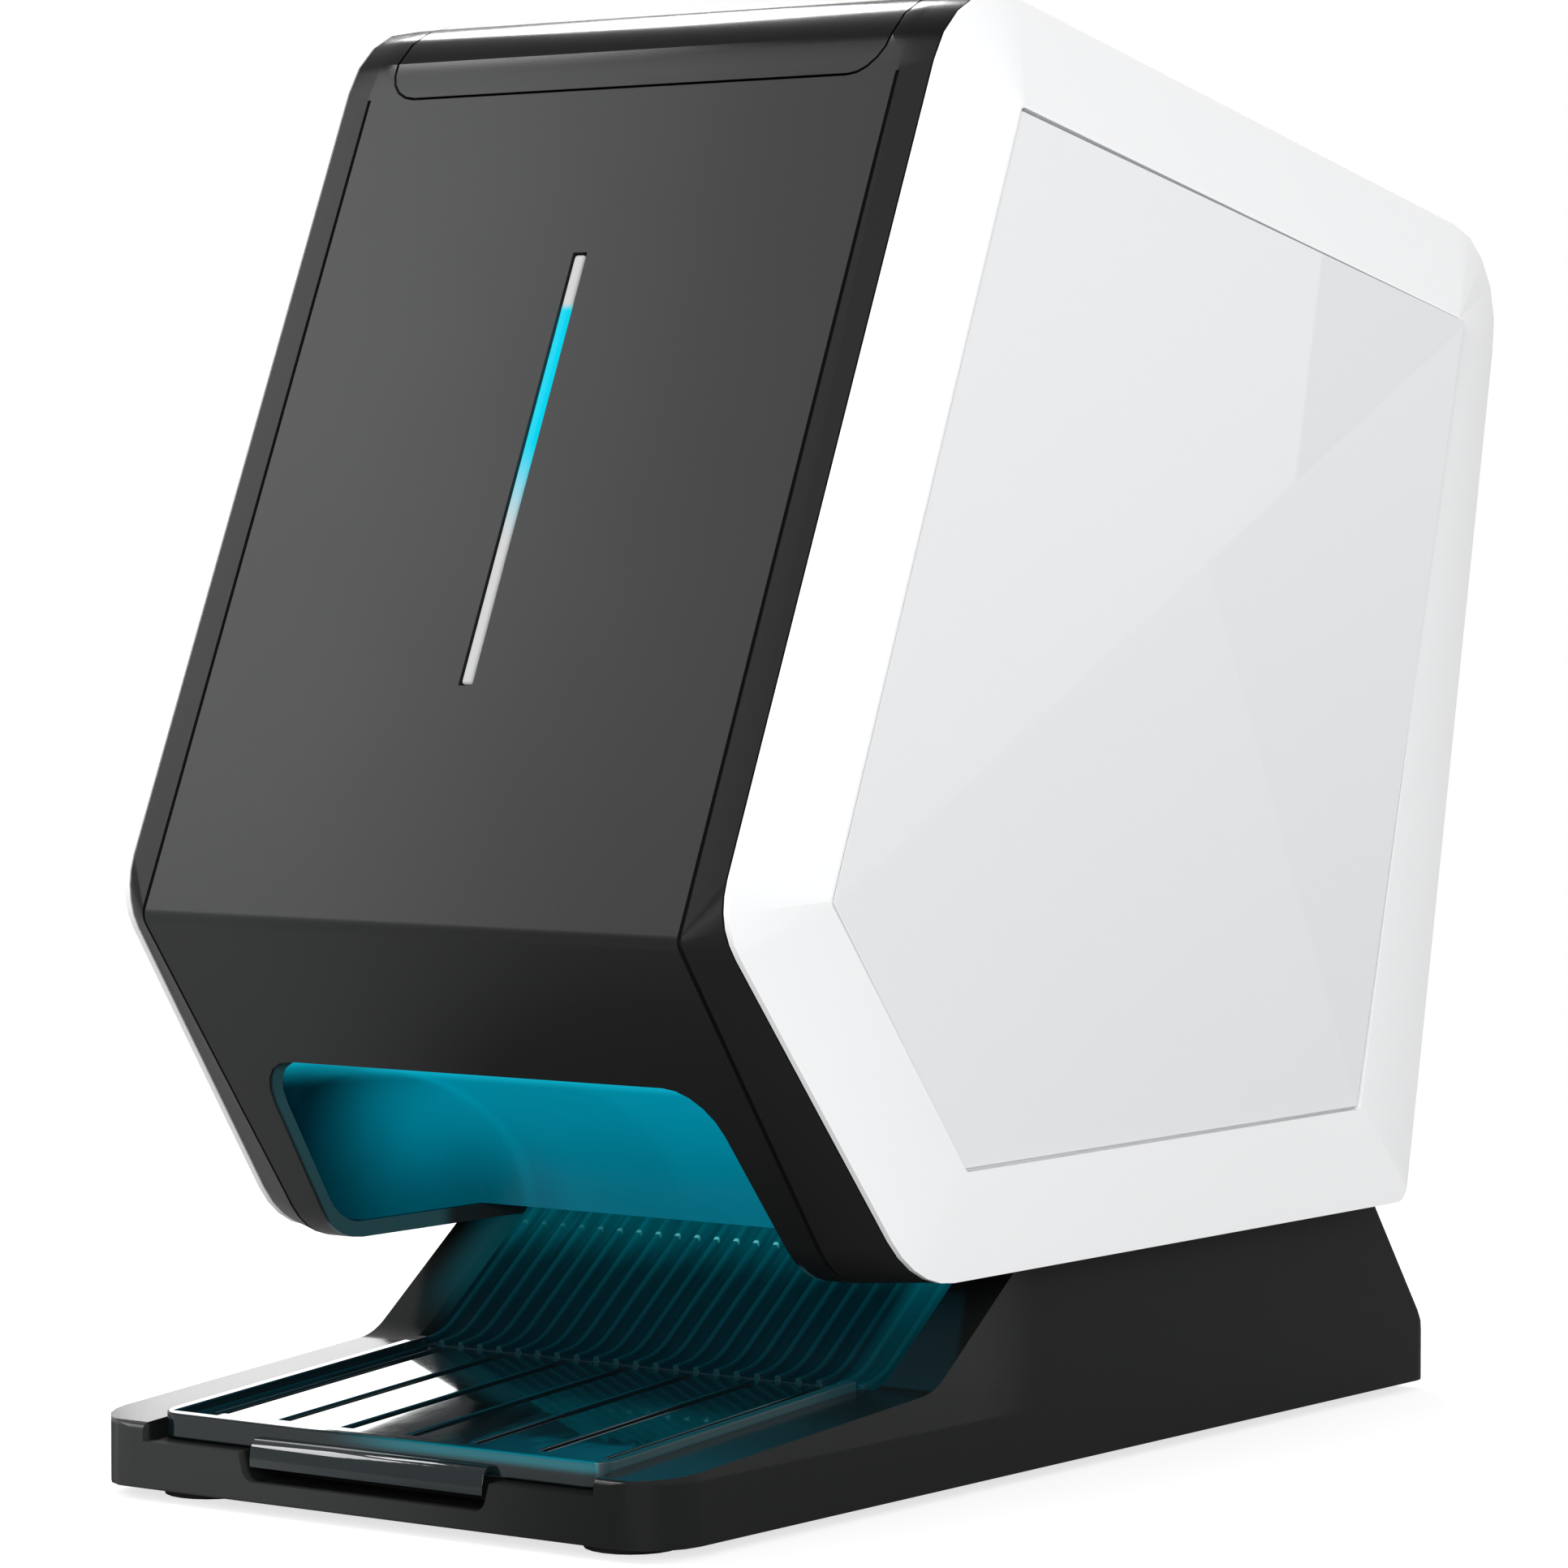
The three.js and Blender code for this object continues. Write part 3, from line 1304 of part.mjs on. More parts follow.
// Main board on its standoffs, with a few of its larger components
function mainBoard() {
  const back = -coverWall - standoffHeight - fitGap
  const front = back - boardSheet
  const inside = front + boardSheet / 2
  const across = mainBoardHalfWidth
  const sheet = box(-across, across, front, back, mainBoardLow, mainBoardLow + mainBoardHeight)
  const chips = chipShares.map((chip) => {
    const x = chip.across * across
    const z = mainBoardLow + chip.up * mainBoardHeight
    const half = (chip.size * across) / 2
    return box(x - half, x + half, front - chip.thick * boardSheet, inside, z - half, z + half)
  })
  const cans = canShares.map((share) => {
    const z = mainBoardLow + share * mainBoardHeight
    return cylinderY(standoffRadius, across / 2, front - standoffHeight, inside, z, barSides)
  })
  return inFrame(sheet.add(join(chips)).add(join(cans)), rearFrame)
}

// Rear connector panel and its sockets, in the frame of the rear wall
const panelFace = -coverWall + connectorSheet
const socketRow = connectorPanelLow + connectorPanelHeight / 2

function socketLow() {
  return socketRow - sockets.network.height / 2
}

function socketBlock(socket, gap, out, inner) {
  const half = socket.width / 2 + gap
  const low = socketLow() - gap
  const high = socketLow() + socket.height + gap
  return box(socket.x - half, socket.x + half, inner, out, low, high)
}

function connectorPanel() {
  const half = connectorPanelHalfWidth
  const high = connectorPanelLow + connectorPanelHeight
  const inletHeight = socketLow() + sockets.inlet.height / 2
  const hole = (radius, x, z) => cylinderY(radius + fitGap, x, -standoffHeight, cutOver, z)
  const sheet = box(-half, half, -coverWall, panelFace, connectorPanelLow, high)
  const windows = [sockets.network, sockets.usb].map((socket) => (
    socketBlock(socket, fitGap, cutOver, -standoffHeight)
  ))
  const inletHole = hole(inletRadius, sockets.inlet.x, inletHeight)
  const buttonHole = hole(powerButtonRadius, buttonPlace, socketRow)
  return inFrame(sheet.subtract(join(windows)).subtract(inletHole).subtract(buttonHole), rearFrame)
}

function powerInlet() {
  const { x, height, depth } = sockets.inlet
  const z = socketLow() + height / 2
  const back = -coverWall - fitGap
  const body = socketBlock(sockets.inlet, 0, back, back - depth)
  const nose = cylinderY(inletRadius, x, back - fitGap, panelFace, z)
  const boreEnd = back - depth + coverWall
  const bore = cylinderY(inletRadius * inletBoreShare, x, boreEnd, cutOver, z, rollerSides)
  const pinFoot = boreEnd - coverWall / 2
  const pin = cylinderY(inletRadius / 4, x, pinFoot, panelFace - coverWall / 2, z, boreSides)
  return inFrame(body.add(nose).subtract(bore).add(pin), rearFrame)
}

function jackSocket(socket) {
  const back = -coverWall - fitGap
  const wall = socket.width * socket.wallShare
  const low = socketLow() + wall
  const high = socketLow() + socket.height - wall
  const half = socket.width / 2 - wall
  const body = socketBlock(socket, 0, panelFace, back - socket.depth)
  const floor = back - socket.depth + 2 * wall
  const mouth = box(socket.x - half, socket.x + half, floor, cutOver, low, high)
  const tongueHigh = low + wall + (high - low - wall) * socket.tongueShare
  const tongueHalf = half / 2
  const tongueFoot = floor - wall
  const left = socket.x - tongueHalf
  const tongue = box(left, left + half, tongueFoot, back, tongueHigh - wall, tongueHigh)
  return inFrame(body.subtract(mouth).add(tongue), rearFrame)
}

// Connector board with the switch that the power button presses
function connectorBoard() {
  const high = socketLow() - fitGap
  const back = -coverWall - fitGap
  const half = connectorPanelHalfWidth - coverWall
  const sheet = box(-half, half, back - connectorBoardDepth, back, high - boardSheet, high)
  const size = powerButtonRadius + fitGap
  const out = -2 * coverWall - powerButtonTravel - fitGap
  const left = buttonPlace - size
  const block = box(left, left + 2 * size, out - 2 * size, out, high - boardSheet / 2, high + 2 * size)
  return inFrame(sheet.add(block), rearFrame)
}

function powerButton() {
  const out = powerButtonTravel
  const cap = cylinderY(powerButtonRadius, buttonPlace, -coverWall - fitGap, out, socketRow)
  const stemRadius = powerButtonRadius / 2
  const stem = cylinderY(stemRadius, buttonPlace, -2 * coverWall, -coverWall, socketRow, barSides)
  return inFrame(cap.add(stem), rearFrame)
}

// The whole scanner, moved so that its origin is the middle of its footprint
const scanner = new THREE.Group()
scanner.position.set(0, -headCrownBack() / 2, 0)

function headCrownBack() {
  return headSolid(0).boundingBox().max[1]
}

const rollerNames = ['infeed', 'upper', 'lower']

function addBoth(name, makeRight, look) {
  const right = makeRight()
  scanner.add(piece(`${name}_right`, right, look))
  scanner.add(piece(`${name}_left`, mirrored(right), look))
}

scanner.add(
  piece('front_cover', frontCover(), paint.charcoal),
  piece('rear_cover', rearCover(), paint.charcoal),
  piece('top_lid', topLid(), paint.charcoal),
  piece('lid_hinge_pin', hingePin(), paint.steel),
  piece('base_housing', baseHousing(), paint.baseBlack),
  piece('base_bottom_plate', bottomPlate(), paint.baseBlack),
  piece('exit_ramp', exitRamp(), paint.teal),
  piece('exit_hood', exitHood(), paint.teal),
  piece('exit_glow_board', exitGlowBoard(), paint.board),
  piece('collection_tray', collectionTray(), paint.glossBlack),
  piece('slot_guide', slotGuide(), paint.innerPlastic),
  piece('light_bar', lightBar(), paint.diffuser),
  piece('light_bar_board', lightBarBoard(), paint.board),
)
addBoth('side_shell', sideShell, paint.white)
addBoth('side_panel', sidePanel, paint.panelGrey)
addBoth('pinch_spring', pinchSpring, paint.steel)

const footNames = ['front_left', 'rear_left', 'front_right', 'rear_right']
footPlaces.forEach((place, i) => {
  scanner.add(piece(`rubber_foot_${footNames[i]}`, rubberFoot(place), paint.rubber))
})

rollerHeights.forEach((height, i) => {
  scanner.add(
    piece(`${rollerNames[i]}_drive_roller`, driveRoller(height), paint.rubber),
    piece(`${rollerNames[i]}_pinch_roller`, pinchRoller(height), paint.steel),
    piece(`${rollerNames[i]}_pulley`, rollerPulley(height), paint.innerPlastic),
  )
})

const barPlaces = {
  top: [chassisShoulder, chassisTop - 4 * barRadius],
  rear: [chassisBack - 2 * barRadius, chassisLow + 6 * barRadius],
}

scanner.add(
  piece('motor_pulley', motorPulley(), paint.brass),
  piece('drive_belt', driveBelt(), paint.rubber),
  piece('drive_motor', driveMotor(), paint.steel),
  piece('chassis_plate_right', chassisPlate(true), paint.aluminium),
  piece('chassis_plate_left', mirrored(chassisPlate(false)), paint.aluminium),
  piece('chassis_floor', chassisFloor(), paint.aluminium),
  piece('chassis_bar_top', chassisBar(...barPlaces.top), paint.steel),
  piece('chassis_bar_rear', chassisBar(...barPlaces.rear), paint.steel),
  piece('plate_guide_front', plateGuideFront(), paint.innerPlastic),
  piece('plate_guide_back', plateGuideBack(), paint.innerPlastic),
  piece('optics_base', opticsBase(), paint.aluminium),
  piece('polygon_motor', polygonMotor(), paint.innerPlastic),
  piece('polygon_mirror', polygonMirror(), paint.mirror),
  piece('scan_lens', scanLens(), paint.acrylic),
  piece('laser_module', laserModule(), paint.brass),
  piece('light_guide', lightGuide(), paint.acrylic),
  piece('photomultiplier', photomultiplier(), paint.innerPlastic),
  piece('detector_bracket', detectorBracket(), paint.aluminium),
  piece('erase_lamp_board', eraseLampBoard(), paint.board),
  piece('main_board', mainBoard(), paint.board),
  piece('connector_panel', connectorPanel(), paint.innerPlastic),
  piece('connector_board', connectorBoard(), paint.board),
  piece('power_inlet', powerInlet(), paint.innerPlastic),
  piece('network_socket', jackSocket(sockets.network), paint.steel),
  piece('usb_socket', jackSocket(sockets.usb), paint.steel),
  piece('power_button', powerButton(), paint.innerPlastic),
)

export default scanner
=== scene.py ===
import math

import bpy
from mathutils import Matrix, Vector


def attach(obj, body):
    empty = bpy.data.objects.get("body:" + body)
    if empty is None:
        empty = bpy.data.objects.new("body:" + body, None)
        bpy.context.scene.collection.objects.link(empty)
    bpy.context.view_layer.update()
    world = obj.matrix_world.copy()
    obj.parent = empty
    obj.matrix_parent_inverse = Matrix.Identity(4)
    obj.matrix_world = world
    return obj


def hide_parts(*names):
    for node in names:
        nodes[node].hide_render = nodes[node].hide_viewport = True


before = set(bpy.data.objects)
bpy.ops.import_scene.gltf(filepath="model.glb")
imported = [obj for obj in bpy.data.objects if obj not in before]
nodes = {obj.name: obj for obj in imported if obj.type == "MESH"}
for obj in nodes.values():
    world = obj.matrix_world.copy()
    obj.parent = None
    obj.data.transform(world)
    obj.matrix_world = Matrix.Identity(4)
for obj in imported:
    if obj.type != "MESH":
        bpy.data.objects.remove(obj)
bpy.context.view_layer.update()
mm = 0.001

# Camera: a long lens, low in front of the scanner's right side, as in the photograph.
# Its height, turn and dip were worked out from the edges that mirror each other.
photo_side = 1932
photo_focal = 7173
film_width = 36
camera_spot = (578.0 * mm, -800.2 * mm, 152.7 * mm)
camera_turn = 36.24
camera_dip = 2.44
lens_data = bpy.data.cameras.new("photo_camera")
lens_data.sensor_width = film_width
lens_data.lens = photo_focal / photo_side * film_width
camera = bpy.data.objects.new("photo_camera", lens_data)
camera.location = camera_spot
camera.rotation_euler = (math.radians(90 - camera_dip), 0, math.radians(camera_turn))
bpy.context.scene.collection.objects.link(camera)
bpy.context.scene.camera = camera
bpy.context.scene.view_settings.view_transform = "Standard"


# Studio: a pale floor that fades into a white room, lit by large soft boxes.
# The floor looks white to the camera and keeps the scanner's soft shadow.
class Wire:
    """A socket in a material, for use in Python expressions."""

    def __init__(self, tree, socket=None):
        self.tree = tree
        self.socket = socket

    def node(self, kind, settings=None, inputs=None, output=0):
        made = self.tree.nodes.new(kind)
        for name, setting in (settings or {}).items():
            setattr(made, name, setting)
        for name, entry in (inputs or {}).items():
            if isinstance(entry, Wire):
                self.tree.links.new(entry.socket, made.inputs[name])
            else:
                made.inputs[name].default_value = entry
        return Wire(self.tree, made.outputs[output])

    def maths(self, operation, first, second=0.0):
        return self.node("ShaderNodeMath", {"operation": operation}, {0: first, 1: second})

    def __add__(self, other):
        return self.maths("ADD", self, other)

    def __sub__(self, other):
        return self.maths("SUBTRACT", self, other)

    def __rsub__(self, other):
        return self.maths("SUBTRACT", other, self)

    def __mul__(self, other):
        return self.maths("MULTIPLY", self, other)

    __radd__ = __add__
    __rmul__ = __mul__

    def larger(self, other):
        return self.maths("MAXIMUM", self, other)

    def wrapped(self, span):
        """Distance to the nearest multiple of a span."""
        return self.maths("PINGPONG", self, span / 2)

    def size(self):
        return self.maths("ABSOLUTE", self)

    def ease(self, low, high):
        """Climbs smoothly from 0 at low to 1 at high."""
        span = {"Value": self, "From Min": low, "From Max": high}
        return self.node("ShaderNodeMapRange", {"interpolation_type": "SMOOTHSTEP"}, span)

    def between(self, first, second):
        """A colour between two others, by this number."""
        ends = {0: self}
        for socket, colour in ((6, first), (7, second)):
            ends[socket] = colour if isinstance(colour, Wire) else (*colour, 1)
        return self.node("ShaderNodeMix", {"data_type": "RGBA"}, ends, 2)

    def outside(self, low, high):
        """Falls smoothly from 1 at low to 0 at high."""
        return 1 - self.ease(low, high)

    def along(self, axis):
        return self.node("ShaderNodeSeparateXYZ", None, {0: self}, axis)

    def stretched(self, scale):
        return self.node("ShaderNodeMapping", None, {"Vector": self, "Scale": scale})

    def grain(self, size, detail=2.0):
        """Soft random spots of about one size."""
        spots = {"Vector": self, "Scale": 1 / size, "Detail": detail}
        return self.node("ShaderNodeTexNoise", None, spots)


def material_tree(name):
    material = bpy.data.materials.new(name)
    material.use_nodes = True
    material.node_tree.nodes.clear()
    wire = Wire(material.node_tree)
    return material, wire, wire.node("ShaderNodeTexCoord", output="Object")


def finish(tree, shader, kind="ShaderNodeOutputMaterial"):
    end = tree.nodes.new(kind)
    tree.links.new(shader.socket, end.inputs["Surface"])


def by_ray(wire, on_things, in_gloss, seen=1.0):
    """A strength with its own values on things, in a gloss, and as the camera sees it."""
    camera, glossy, through = [
        wire.node("ShaderNodeLightPath", output=f"Is {ray} Ray")
        for ray in ("Camera", "Glossy", "Transmission")
    ]
    return camera.larger(through) * (seen - on_things) + glossy * (in_gloss - on_things) + on_things


floor_gloss = 0.06
room_gloss = 0.4
floor_colour = (0.42, 0.42, 0.42)
floor_glow = 0.72
floor_span = 6
floor_fade = (0.25, 0.6)
room_light = 0.53

floor_paint, wire, place = material_tree("pale_floor")
speckle = place.grain(40 * mm, 3).between(floor_colour, [part * 1.03 for part in floor_colour])
lit = wire.node("ShaderNodeBsdfDiffuse", None, {"Color": speckle})
floor_strength = by_ray(wire, 0.0, floor_gloss, floor_glow)
glow = wire.node("ShaderNodeEmission", None, {"Strength": floor_strength})
near = wire.node("ShaderNodeAddShader", None, {0: lit, 1: glow})
reach = wire.node("ShaderNodeVectorMath", {"operation": "LENGTH"}, {0: place}, "Value")
faded = reach.ease(*floor_fade)
far = wire.node("ShaderNodeBsdfTransparent")
finish(wire.tree, wire.node("ShaderNodeMixShader", None, {0: faded, 1: near, 2: far}))
bpy.ops.object.select_all(action="DESELECT")
bpy.ops.mesh.primitive_plane_add(size=floor_span)
floor = bpy.context.object
floor.name = "pale_floor"
floor.data.materials.append(floor_paint)

room = bpy.data.worlds.new("white_room")
room.use_nodes = True
room.node_tree.nodes.clear()
wire = Wire(room.node_tree)
white = {"Color": (1, 1, 1, 1), "Strength": by_ray(wire, room_light, room_gloss)}
finish(wire.tree, wire.node("ShaderNodeBackground", None, white), "ShaderNodeOutputWorld")
bpy.context.scene.world = room

# Each soft box has its place in metres, its power in watts and the length of its side.
object_middle = Vector((0, 0, 120 * mm))
soft_boxes = {
    "side_box": ((2.2, 0.5, 0.9), 12.5, 1.2),
    "front_box": ((0.9, -1.6, 0.6), 21, 0.7),
    "fascia_box": ((-1.0, -0.7, 0.85), 6, 0.5),
    "top_box": ((-0.38, 0.3, 0.62), 2, 0.16),
    "back_box": ((-1.5, 1.95, 0.42), 4.5, 0.8),
    "heel_box": ((1.3, 1.7, 0.5), 3, 0.8),
    "lid_box": ((-0.73, -0.4, 1.1), 1.5, 0.22),
}
for name, (spot, power, side) in soft_boxes.items():
    lamp = bpy.data.lights.new(name, "AREA")
    lamp.energy = power
    lamp.size = side
    stand = bpy.data.objects.new(name, lamp)
    stand.location = spot
    stand.rotation_euler = (object_middle - stand.location).to_track_quat("-Z", "Y").to_euler()
    bpy.context.scene.collection.objects.link(stand)


# Base: one near-black moulding with a fine matt grain, and a flat plate under it.
# The bed in front carries the tray, and the hollow neck behind carries the head. The lamps
# of the exit bay throw a little teal light on the neck's left slope.
def coat_solid(material, *names):
    for name in names:
        slots = nodes[name].data.materials
        slots.clear()
        slots.append(material)


def pick(thing):
    bpy.ops.object.select_all(action="DESELECT")
    thing.select_set(True)
    bpy.context.view_layer.objects.active = thing


def settle(piece, material, body, slot, *replaced):
    """Puts a finished piece in the frame: its place in its mesh, its finish and its body."""
    pick(piece)
    bpy.ops.object.transform_apply(location=True, rotation=True, scale=True)
    piece.data.materials.clear()
    piece.data.materials.append(material)
    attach(piece, body)
    if replaced:
        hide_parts(*replaced)


def use_modifier(piece, kind, **settings):
    pick(piece)
    made = piece.modifiers.new(kind.lower(), kind)
    for name, value in settings.items():
        setattr(made, name, value)
    bpy.ops.object.modifier_apply(modifier=made.name)


weld_gap = 0.01 * mm


def rounded(
    name, radius, material, body, slot,
    steps=2, bevel_from=24, crease=40, flat=0.5,
):
    """A copy of a solid whose edges have the small radius that the tool gives them."""
    piece = bpy.data.objects.new(name + "_body", nodes[name].data.copy())
    bpy.context.scene.collection.objects.link(piece)
    pick(piece)
    bpy.ops.mesh.customdata_custom_splitnormals_clear()
    bpy.ops.object.mode_set(mode="EDIT")
    bpy.ops.mesh.select_all(action="SELECT")
    bpy.ops.mesh.remove_doubles(threshold=weld_gap)
    bpy.ops.mesh.dissolve_limited(angle_limit=math.radians(flat))
    bpy.ops.object.mode_set(mode="OBJECT")
    use_modifier(
        piece, "BEVEL", width=radius, segments=steps, limit_method="ANGLE",
        angle_limit=math.radians(bevel_from), harden_normals=False,
    )
    pick(piece)
    bpy.ops.object.shade_smooth_by_angle(angle=math.radians(crease))
    use_modifier(piece, "WEIGHTED_NORMAL", keep_sharp=True, weight=80)
    settle(piece, material, body, slot, name)
    return piece


base_tones = [(0.0075, 0.0085, 0.008), (0.0095, 0.0105, 0.010)]
front_light_tone = (0.036, 0.0375, 0.037)
slope_spill = (0.0, 0.035, 0.045)
no_light = (0.0, 0.0, 0.0)
front_wall = -120.5 * mm
front_light_end = (-15 * mm, 50 * mm)
bed_height = 11.5 * mm
bed_back = (-40 * mm, -20 * mm)
slope_foot = (-52 * mm, -40 * mm)
slope_head = (-24 * mm, -18 * mm)
slope_climb = (17 * mm, 30 * mm)
slope_outside = (-57 * mm, -48 * mm)
slope_inside = (-46 * mm, -40 * mm)

base_black, wire, place = material_tree("base_black")
cloud = place.grain(30 * mm, 3)
etch = place.grain(0.5 * mm)
across = place.along("X")
depth = place.along("Y")
height = place.along("Z")
# Painted light: the front face is painted lighter towards its left end, fading out to the right,
# where more light falls on it.
painted_front_light = depth.outside(front_wall, front_wall + 1 * mm) * across.outside(*front_light_end)
bed_top = depth.outside(*bed_back) * height.ease(bed_height, bed_height + 0.7 * mm)
lit_slope = depth.ease(*slope_foot) * depth.outside(*slope_head) * height.ease(*slope_climb)
lit_slope = lit_slope * across.ease(*slope_outside) * across.outside(*slope_inside)
base_tone = (cloud * 0.6 + etch * 0.4).between(*base_tones)
surface = {
    "Base Color": painted_front_light.between(base_tone, front_light_tone),
    "Emission Color": lit_slope.between(no_light, slope_spill),
    "Emission Strength": 1.0,
    "Roughness": 0.45 + (cloud - 0.5) * 0.08 + (etch - 0.5) * 0.06 - bed_top * 0.27,
    "Coat Weight": bed_top * 0.35,
    "Coat Roughness": 0.12,
    "Normal": wire.node("ShaderNodeBump", None, {"Height": etch, "Distance": 0.012 * mm}),
    "Specular IOR Level": 0.1,
}
finish(wire.tree, wire.node("ShaderNodeBsdfPrincipled", None, surface))
rounded("base_housing", 0.5 * mm, base_black, "scanner_body", "base_black")
coat_solid(base_black, "base_bottom_plate")

# Feet: four soft rubber pads pressed into round seats in the bottom plate.
# Each has a bevelled edge and a shallow cup underneath.
def moulding(name, tones, rough, grain, depth, shine):
    """Moulded plastic: a fine etched grain, with faint clouding in its colour and gloss."""
    material, wire, place = material_tree(name)
    cloud = place.grain(30 * mm, 3)
    etch = place.grain(grain)
    surface = {
        "Base Color": (cloud * 0.6 + etch * 0.4).between(*tones),
        "Roughness": rough + (cloud - 0.5) * 0.1 + (etch - 0.5) * 0.08,
        "Normal": wire.node("ShaderNodeBump", None, {"Height": etch, "Distance": depth}),
        "Specular IOR Level": shine,
    }
    finish(wire.tree, wire.node("ShaderNodeBsdfPrincipled", None, surface))
    return material


def greys(level, spread=0.15, lean=(1, 1, 1)):
    """Two close greys either side of a level."""
    return [[level * (1 + side * spread) * part for part in lean] for side in (-1, 1)]


rubber = moulding("foot_rubber", greys(0.02), 0.75, 0.6 * mm, 0.03 * mm, 0.3)
for corner in ("front_left", "front_right", "rear_left", "rear_right"):
    rounded(f"rubber_foot_{corner}", 0.5 * mm, rubber, "scanner_body", "rubber", 3)

# Exit ramp and hood: gloss mouldings in teal light. The hood glows, lit from inside, and the
# ramp's teal is painted light and painted reflection from it. The plate slides out of the head
# over the ribs of the ramp, under the lit hood, and comes to rest in the tray.
teal_glow = (0.0, 0.255, 0.37)
teal_dark = (0.0, 0.004, 0.007)
brow_glow = (0.005, 0.42, 0.56)
hood_wall = -46 * mm
hood_corner = 8 * mm
hood_shade = 21 * mm
mouth_reach = (-84 * mm, -48 * mm)
hood_rise = (38 * mm, 60 * mm)
brow_rise = (62.5 * mm, 65 * mm)
lamp_across = -37 * mm
bright_from = (-7 * mm, -2 * mm)

hood_paint, wire, place = material_tree("lit_hood")
across = place.along("X")
height = place.along("Z")
mist = place.grain(9 * mm, 3)
rear_wall = across.ease(hood_wall, hood_wall + hood_corner)
from_mouth = rear_wall.larger(place.along("Y").ease(*mouth_reach))
rise = height.ease(*hood_rise)
brow = height.ease(*brow_rise)
lamp_line = (across - lamp_across).size().outside(0.3 * mm, 2.5 * mm)
bright_end = across.ease(*bright_from)
held = across.ease(hood_wall, hood_wall + hood_shade) * 0.3 + 0.3
glow = (from_mouth * 0.78 + bright_end * 0.06) * (rise * (1 - held) + held)
glow = glow + lamp_line * 0.08 + (mist - 0.5) * 0.06
lit_teal = glow.between(teal_dark, teal_glow)
surface = {
    "Base Color": mist.between((0.0, 0.008, 0.012), (0.0, 0.012, 0.018)),
    "Emission Color": (brow * from_mouth * 0.75).between(lit_teal, brow_glow),
    "Emission Strength": 1.0,
    "Roughness": 0.35 + (mist - 0.5) * 0.1,
    "Specular IOR Level": 0.12,
}
finish(wire.tree, wire.node("ShaderNodeBsdfPrincipled", None, surface))
rounded("exit_hood", 0.4 * mm, hood_paint, "scanner_body", "teal_plastic")

rib_pitch = 4.1 * mm
rib_half_width = 0.45 * mm
ramp_climb = (20 * mm, 43 * mm)
lamp_climb = (29 * mm, 38 * mm)
glint_spread = (-36 * mm, 0)
edge_glow_from = 37 * mm
glint_row_back = -25.2 * mm
rib_teal = (0.0, 0.085, 0.11)
rib_shade = (0.0, 0.001, 0.002)
glint_teal = (0.1, 0.5, 0.55)

# Painted light on the ramp: the rib crests are painted lighter and glow as painted highlights.
# Streaks of painted teal reflection grow brighter up towards the hood and at the right edge, and a
# row of painted glints lies on the crests along the hood's shadow line.
ramp_paint, wire, place = material_tree("ribbed_ramp")
height = place.along("Z")
mist = place.grain(5 * mm, 3)
etch = place.grain(0.5 * mm)
from_rib = place.along("X").wrapped(rib_pitch)
crest = from_rib.outside(rib_half_width - 0.25 * mm, rib_half_width + 0.35 * mm)
climb = height.ease(*ramp_climb)
glint_spot = (place.along("Y") - glint_row_back).size().outside(0.1 * mm, 0.35 * mm)
rightward = place.along("X").ease(*glint_spread) * 0.85 + 0.1
edge = place.along("X").ease(edge_glow_from, edge_glow_from + 3 * mm)
streak = place.stretched((1, 0.08, 0.08)).grain(0.9 * mm, 2)
near_lamps = height.ease(*lamp_climb)
lit = (crest * 0.3 + streak * 0.35 + edge * 0.6) * (climb * 0.97 + 0.03)
lit = lit + near_lamps * (streak * 0.6 + 0.2) + edge * 0.12
lit_teal = lit.between(rib_shade, rib_teal)
surface = {
    "Base Color": crest.between((0.0, 0.008, 0.011), (0.001, 0.025, 0.032)),
    "Emission Color": (crest * glint_spot * rightward).between(lit_teal, glint_teal),
    "Emission Strength": 1.0,
    "Roughness": 0.3 + etch * 0.15 + (1 - climb) * 0.15,
    "Normal": wire.node("ShaderNodeBump", None, {"Height": etch, "Distance": 0.01 * mm}),
    "Specular IOR Level": 0.15,
}
finish(wire.tree, wire.node("ShaderNodeBsdfPrincipled", None, surface))
rounded("exit_ramp", 0.3 * mm, ramp_paint, "scanner_body", "teal_plastic", 2, 30)

# Collection tray: a polished black pan with wide grooves, which slides out to the front.
# Its floor ripples slightly, and its front edge and right wall take the bay's teal light.
tray_spill = (0.0, 0.12, 0.15)
tray_wall = 42.8 * mm
rippled_side = (-20 * mm, 15 * mm)
lit_side = (-12 * mm, 8 * mm)
rim_back = -117.9 * mm
rim_height = (11.8 * mm, 13.2 * mm)

tray_paint, wire, place = material_tree("polished_tray")
ripple = place.stretched((1, 0.5, 1)).grain(6 * mm, 2)
scuff = place.grain(1.2 * mm, 3)
across = place.along("X")
depth = place.along("Y")
height = place.along("Z")
away = across.ease(*rippled_side)
right_wall = across.ease(tray_wall, tray_wall + 0.3 * mm)
bright_rim = depth.outside(rim_back, rim_back + 0.4 * mm) * height.ease(*rim_height)
bright_rim = bright_rim * across.ease(*lit_side)
waves = ripple * away * 0.9 + scuff * 0.02
surface = {
    "Base Color": ripple.between((0.003, 0.007, 0.009), (0.004, 0.011, 0.013)),
    "Emission Color": bright_rim.larger(right_wall * 0.16).between(no_light, tray_spill),
    "Emission Strength": 1.0,
    "Roughness": 0.05 + scuff * 0.05 + right_wall * 0.4,
    "Normal": wire.node("ShaderNodeBump", None, {"Height": waves, "Distance": 0.1 * mm}),
    "Specular IOR Level": 0.5,
    "Coat Weight": 1 - right_wall * 0.9,
    "Coat Roughness": 0.03,
    "Coat IOR": 1.3,
}
finish(wire.tree, wire.node("ShaderNodeBsdfPrincipled", None, surface))
rounded("collection_tray", 0.35 * mm, tray_paint, "tray", "gloss_black")

